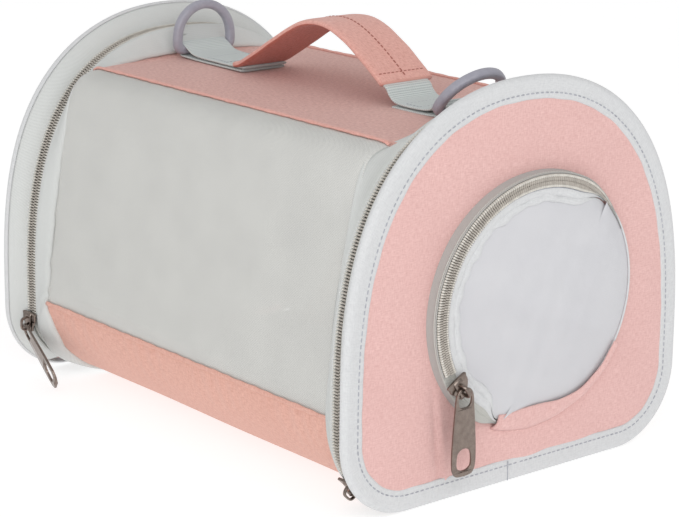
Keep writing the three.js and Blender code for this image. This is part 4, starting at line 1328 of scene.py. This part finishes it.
rear_path = [(-46, 143.3), (-62, 143.3), (-79, 143.4)] + round_bar(REAR_RING_X, -1, -80, 70)
rear_path += [(-86.6, 147.6), (-83, 145.8), (-77, 145.0), (-66, 144.8), (-55, 144.7), (-44.5, 144.9)]
rear_web, _, _ = strap("rear_webbing_tab", rear_path, WEB_WIDTH, WEB_THICK, webbing, square=10)
place_piece(rear_web, "bag", ["rear_webbing"])
front_path = [(55, 143.3), (64, 143.3), (74, 143.4)] + round_bar(FRONT_RING_X, 1, -80, 80)
front_path += [(80.6, 147.7), (77, 145.7), (70, 145.0), (62, 145.0), (56.6, 145.6), (53.4, 147.6),
               (51.6, 150), (49.6, 151.3), (44.5, 154.6)]
front_web, _, _ = strap("front_webbing_tab", front_path, WEB_WIDTH, WEB_THICK, webbing, square=10)
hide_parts("front_webbing")

ring_path = smooth_path([(-12, 0), (0, 0), (12, 0), (14.0, 0.9), (RING_HALF, 3.2), (RING_HALF, RING_LEG)]
                        + [(RING_HALF * math.cos(a), RING_LEG + RING_HALF * math.sin(a))
                           for a in np.radians(np.arange(15, 180, 15))]
                        + [(-RING_HALF, RING_LEG), (-RING_HALF, 3.2), (-14.0, 0.9)], 120, closed=True)


def ring(name, x, lean, body, node):
    """A D: a squarish round section carried round the path (y, h), leaning about its bar."""
    tangent = tangents(ring_path, closed=True)
    normal = np.stack([tangent[:, 1], -tangent[:, 0]], -1)
    turn = np.linspace(0, math.tau, 20, endpoint=False)
    k = (np.abs(np.cos(turn)) ** 3 + np.abs(np.sin(turn)) ** 3) ** (-1 / 3) * RING_WIRE * 0.97
    yh = ring_path[:, None] + normal[:, None] * (np.cos(turn) * k)[None, :, None]
    out = np.broadcast_to(np.sin(turn) * k, yh.shape[:2])
    points = np.stack([x + out * math.cos(lean) + yh[..., 1] * math.sin(lean), yh[..., 0],
                       RING_Z + yh[..., 1] * math.cos(lean) - out * math.sin(lean)], -1)
    piece = surface(name, points, ring_plastic, wrap_u=True, wrap_v=True)
    place_piece(piece, body, [node])


ring("rear_ring_body", REAR_RING_X, 0.0, "rear_ring", "rear_d_ring")
ring("front_ring_body", FRONT_RING_X, FRONT_LEAN, "front_ring", "front_d_ring")

GRIP_PATH = [(-49.5, 145.9), (-45.5, 147.0), (-40, 149.9), (-33, 153.8), (-24, 159), (-13, 165.2),
             (-4, 169.4), (4, 171.3), (13, 171.3), (22, 168.8), (32, 163.8), (41, 158.1), (50.0, 151.9)]
grip, grip_line, grip_normal = strap("handle_strap", GRIP_PATH, GRIP_WIDTH, GRIP_THICK, pink_grip, 9.0, 0.45,
                                     200, 72, 0.006)
grip.data.materials.append(underside_red_brown)
up_sign = float(np.sign(grip_normal[0, 1]))
centres = np.zeros(len(grip.data.polygons) * 3, np.float32)
grip.data.polygons.foreach_get("center", centres)
centres = centres.reshape(-1, 3) / MM - [MIDDLE_X, 0, 0]
nearest = np.abs(centres[:, None, 0] - grip_line[None, :, 0]).argmin(1)
lift = ((centres[:, [0, 2]] - grip_line[nearest]) * grip_normal[nearest]).sum(1) * up_sign
grip.data.polygons.foreach_set("material_index", (lift < UNDERSIDE_BELOW).astype(np.int32))
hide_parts("handle_grip")


def in_middle(xz):
    """Points (x, z) of the bag's middle plane as (x, 0, z)."""
    return np.insert(xz, 1, 0.0, axis=-1)


grip_out = in_middle(grip_normal) * up_sign
grip_top = in_middle(grip_line) + grip_out * GRIP_THICK / 2
seam_path = (grip_top + grip_out * 0.02)[4:-4]
stitch_row("handle_seam_stitches", seam_path, grip_out[4:-4], pink_thread, "handle",
           2.4, 1.7, 0.55)
cross_path = grip_top[-9] + [[0, y, 0] for y in np.linspace(-12.6, 12.6, 30)]
stitch_row("handle_foot_stitches", cross_path, grip_out[-9], pink_thread, "handle",
           2.2, 1.5, 0.4)
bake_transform(grip)
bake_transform(front_web)
BOX_HALF_Y = 10.2
for where, centre, half, level in (("front", 66.0, 4.3, 145.56), ("rear", -66.0, 7.5, 145.4)):
    corners = np.array([(-1, -1), (1, -1), (1, 1), (-1, 1), (-1, -1)]) * [half, BOX_HALF_Y] + [centre, 0]
    path = np.concatenate([np.linspace(corners[k], corners[k + 1], 12) for k in range(4)])
    path = np.column_stack([path, np.full(len(path), level)])
    stitch_row(f"{where}_webbing_box", path, [0, 0, 1.0], thread, "bag", 2.0, 1.4, 0.34)
print("webbing, rings and handle made")

# %% [markdown]
# ## Inside: hinge strips, board and mat
# A strip of cloth along the floor joins each door to the tunnel. The floor is
# a stiff board with a padded mat on it. The mat is a crowned cushion: each face rises from its edge by a
# height times the root of 1 - |u|^14 along the bag and the root of 1 - |v|^6 across it, with quilting
# lines pressed into the upper face.

# %% Inside
MAT_HALF_X, MAT_HALF_Y, MAT_EDGE, MAT_RISE, MAT_SAG = 92.0, 52.0, 7.8, 6.0, 0.6
QUILT_X, QUILT_WIDTH, QUILT_DEPTH = 30, 2.2, 1.6
HINGE_IN, HINGE_OUT, HINGE_HALF = 104.5, 119.0, 54      # the hinge cloth, and half its width


def mat_points():
    """A closed grid over the section: across the top from one edge to the other, and back along the
    underside."""
    u = np.linspace(-1, 1, 120)
    turn = np.linspace(0, math.tau, 72, endpoint=False)
    v = np.sign(np.cos(turn)) * np.abs(np.cos(turn)) ** 0.55
    top = np.sin(turn) > 0
    ends = np.clip(1 - np.abs(u) ** 14, 0.02, 1) ** 0.5
    crown = np.clip(1 - np.abs(v) ** 6, 0, 1) ** 0.5
    height = np.where(top, MAT_RISE, -MAT_SAG)[None, :] * ends[:, None] * crown[None, :]
    x = np.broadcast_to(u[:, None] * MAT_HALF_X, height.shape)
    y = np.broadcast_to(v * MAT_HALF_Y, height.shape)
    quilt = sum(np.exp(-(line / QUILT_WIDTH) ** 2) for line in (x + QUILT_X, x - QUILT_X, y))
    height = height - np.where(top[None, :], QUILT_DEPTH * quilt * crown[None, :] * ends[:, None], 0)
    height = height + np.where(top[None, :], 0.25 * np.sin(0.15 * x) * np.sin(0.2 * y + 1), 0)
    return np.stack([x, y, MAT_EDGE + height], -1)


mat = surface("padded_mat", mat_points(), grey_lining, wrap_v=True, caps=True)
place_piece(mat, "mat", ["floor_mat"])
for side, end in ((1, "front"), (-1, "rear")):
    x = np.linspace(HINGE_IN, HINGE_OUT, 24)
    y = np.linspace(-HINGE_HALF, HINGE_HALF, 40)
    sag = 5.0 - 1.6 * np.exp(-((x - 118) / 3.5) ** 2) + 0.25 * np.sin(x)
    points = np.stack(np.broadcast_arrays(side * x[:, None], y[None, :], sag[:, None]), -1)
    strip = surface(f"{end}_hinge_cloth", points, grey_lining, thick=0.9, flip=side < 0)
    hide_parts(f"{end}_hinge_strip")
    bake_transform(strip)
relined("base_board")
print("inside made")

# %% [markdown]
# ## Floor and light
# The bag stands on a large white plane in an even world, which is plain white where it is seen directly.
# One wide soft light stands beyond the front door, and a second one fills the near side.

# %% Stage
WORLD_STRENGTH, KEY_POWER, FILL_POWER = 0.62, 5.0, 1.5


def area_light(name, place, aim, size, power):
    """A square area light that looks at a point; metres and watts."""
    data = bpy.data.lights.new(name, "AREA")
    data.size, data.energy = size, power
    lamp = bpy.data.objects.new(name, data)
    lamp.visible_camera = False
    bpy.context.scene.collection.objects.link(lamp)
    back = unit(np.array(place, float) - aim)
    right = unit(np.cross([0, 0, 1.0], back))
    columns = [right, np.cross(back, right), back, np.array(place, float)]
    lamp.matrix_world = Matrix(np.column_stack(columns).tolist() + [[0, 0, 0, 1]])


floor_mesh = bpy.data.meshes.new("floor")
floor_mesh.from_pydata([(-4, -4, 0), (4, -4, 0), (4, 4, 0), (-4, 4, 0)], [], [(0, 1, 2, 3)])
floor = bpy.data.objects.new("floor", floor_mesh)
bpy.context.scene.collection.objects.link(floor)
white, _, white_shader = finish("white_floor", 0.9)
white_shader.inputs["Base Color"].default_value = (0.4, 0.4, 0.4, 1)
white_shader.inputs["Emission Color"].default_value = (1, 1, 1, 1)
white_shader.inputs["Emission Strength"].default_value = 0.72
floor_mesh.materials.append(white)
floor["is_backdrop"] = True
world = bpy.data.worlds.new("studio")
world.use_nodes = True
sky = world.node_tree
sky.nodes["Background"].inputs["Color"].default_value = (1, 1, 1, 1)
sky.nodes["Background"].inputs["Strength"].default_value = WORLD_STRENGTH
seen, wide, lit = (sky.nodes.new(f"ShaderNode{kind}") for kind in ("LightPath", "Background", "MixShader"))
wide.inputs["Color"].default_value = (1, 1, 1, 1)
link(sky, seen.outputs["Is Camera Ray"], lit.inputs[0])
link(sky, sky.nodes["Background"].outputs[0], lit.inputs[1])
link(sky, wide.outputs[0], lit.inputs[2])
link(sky, lit.outputs[0], sky.nodes["World Output"].inputs["Surface"])
bpy.context.scene.world = world
bpy.context.scene.view_settings.view_transform = "Standard"
middle_of_bag = np.array([0, 0, 0.08])
area_light("key_light", (1.2, -0.5, 0.9), middle_of_bag, 0.9, KEY_POWER)
area_light("fill_light", (0.45, -0.7, 0.45), middle_of_bag, 0.6, FILL_POWER)
print("stage made")

# %% [markdown]
# ## Sizes and the last line
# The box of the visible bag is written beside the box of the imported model, so that the two can be
# compared.

# %% Finish
low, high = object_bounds()
for axis, *ends in zip("xyz", cad_low, cad_high, low, high):
    print("{}: cad {:.1f} to {:.1f}, visual {:.1f} to {:.1f} mm".format(axis, *(end / MM for end in ends)))
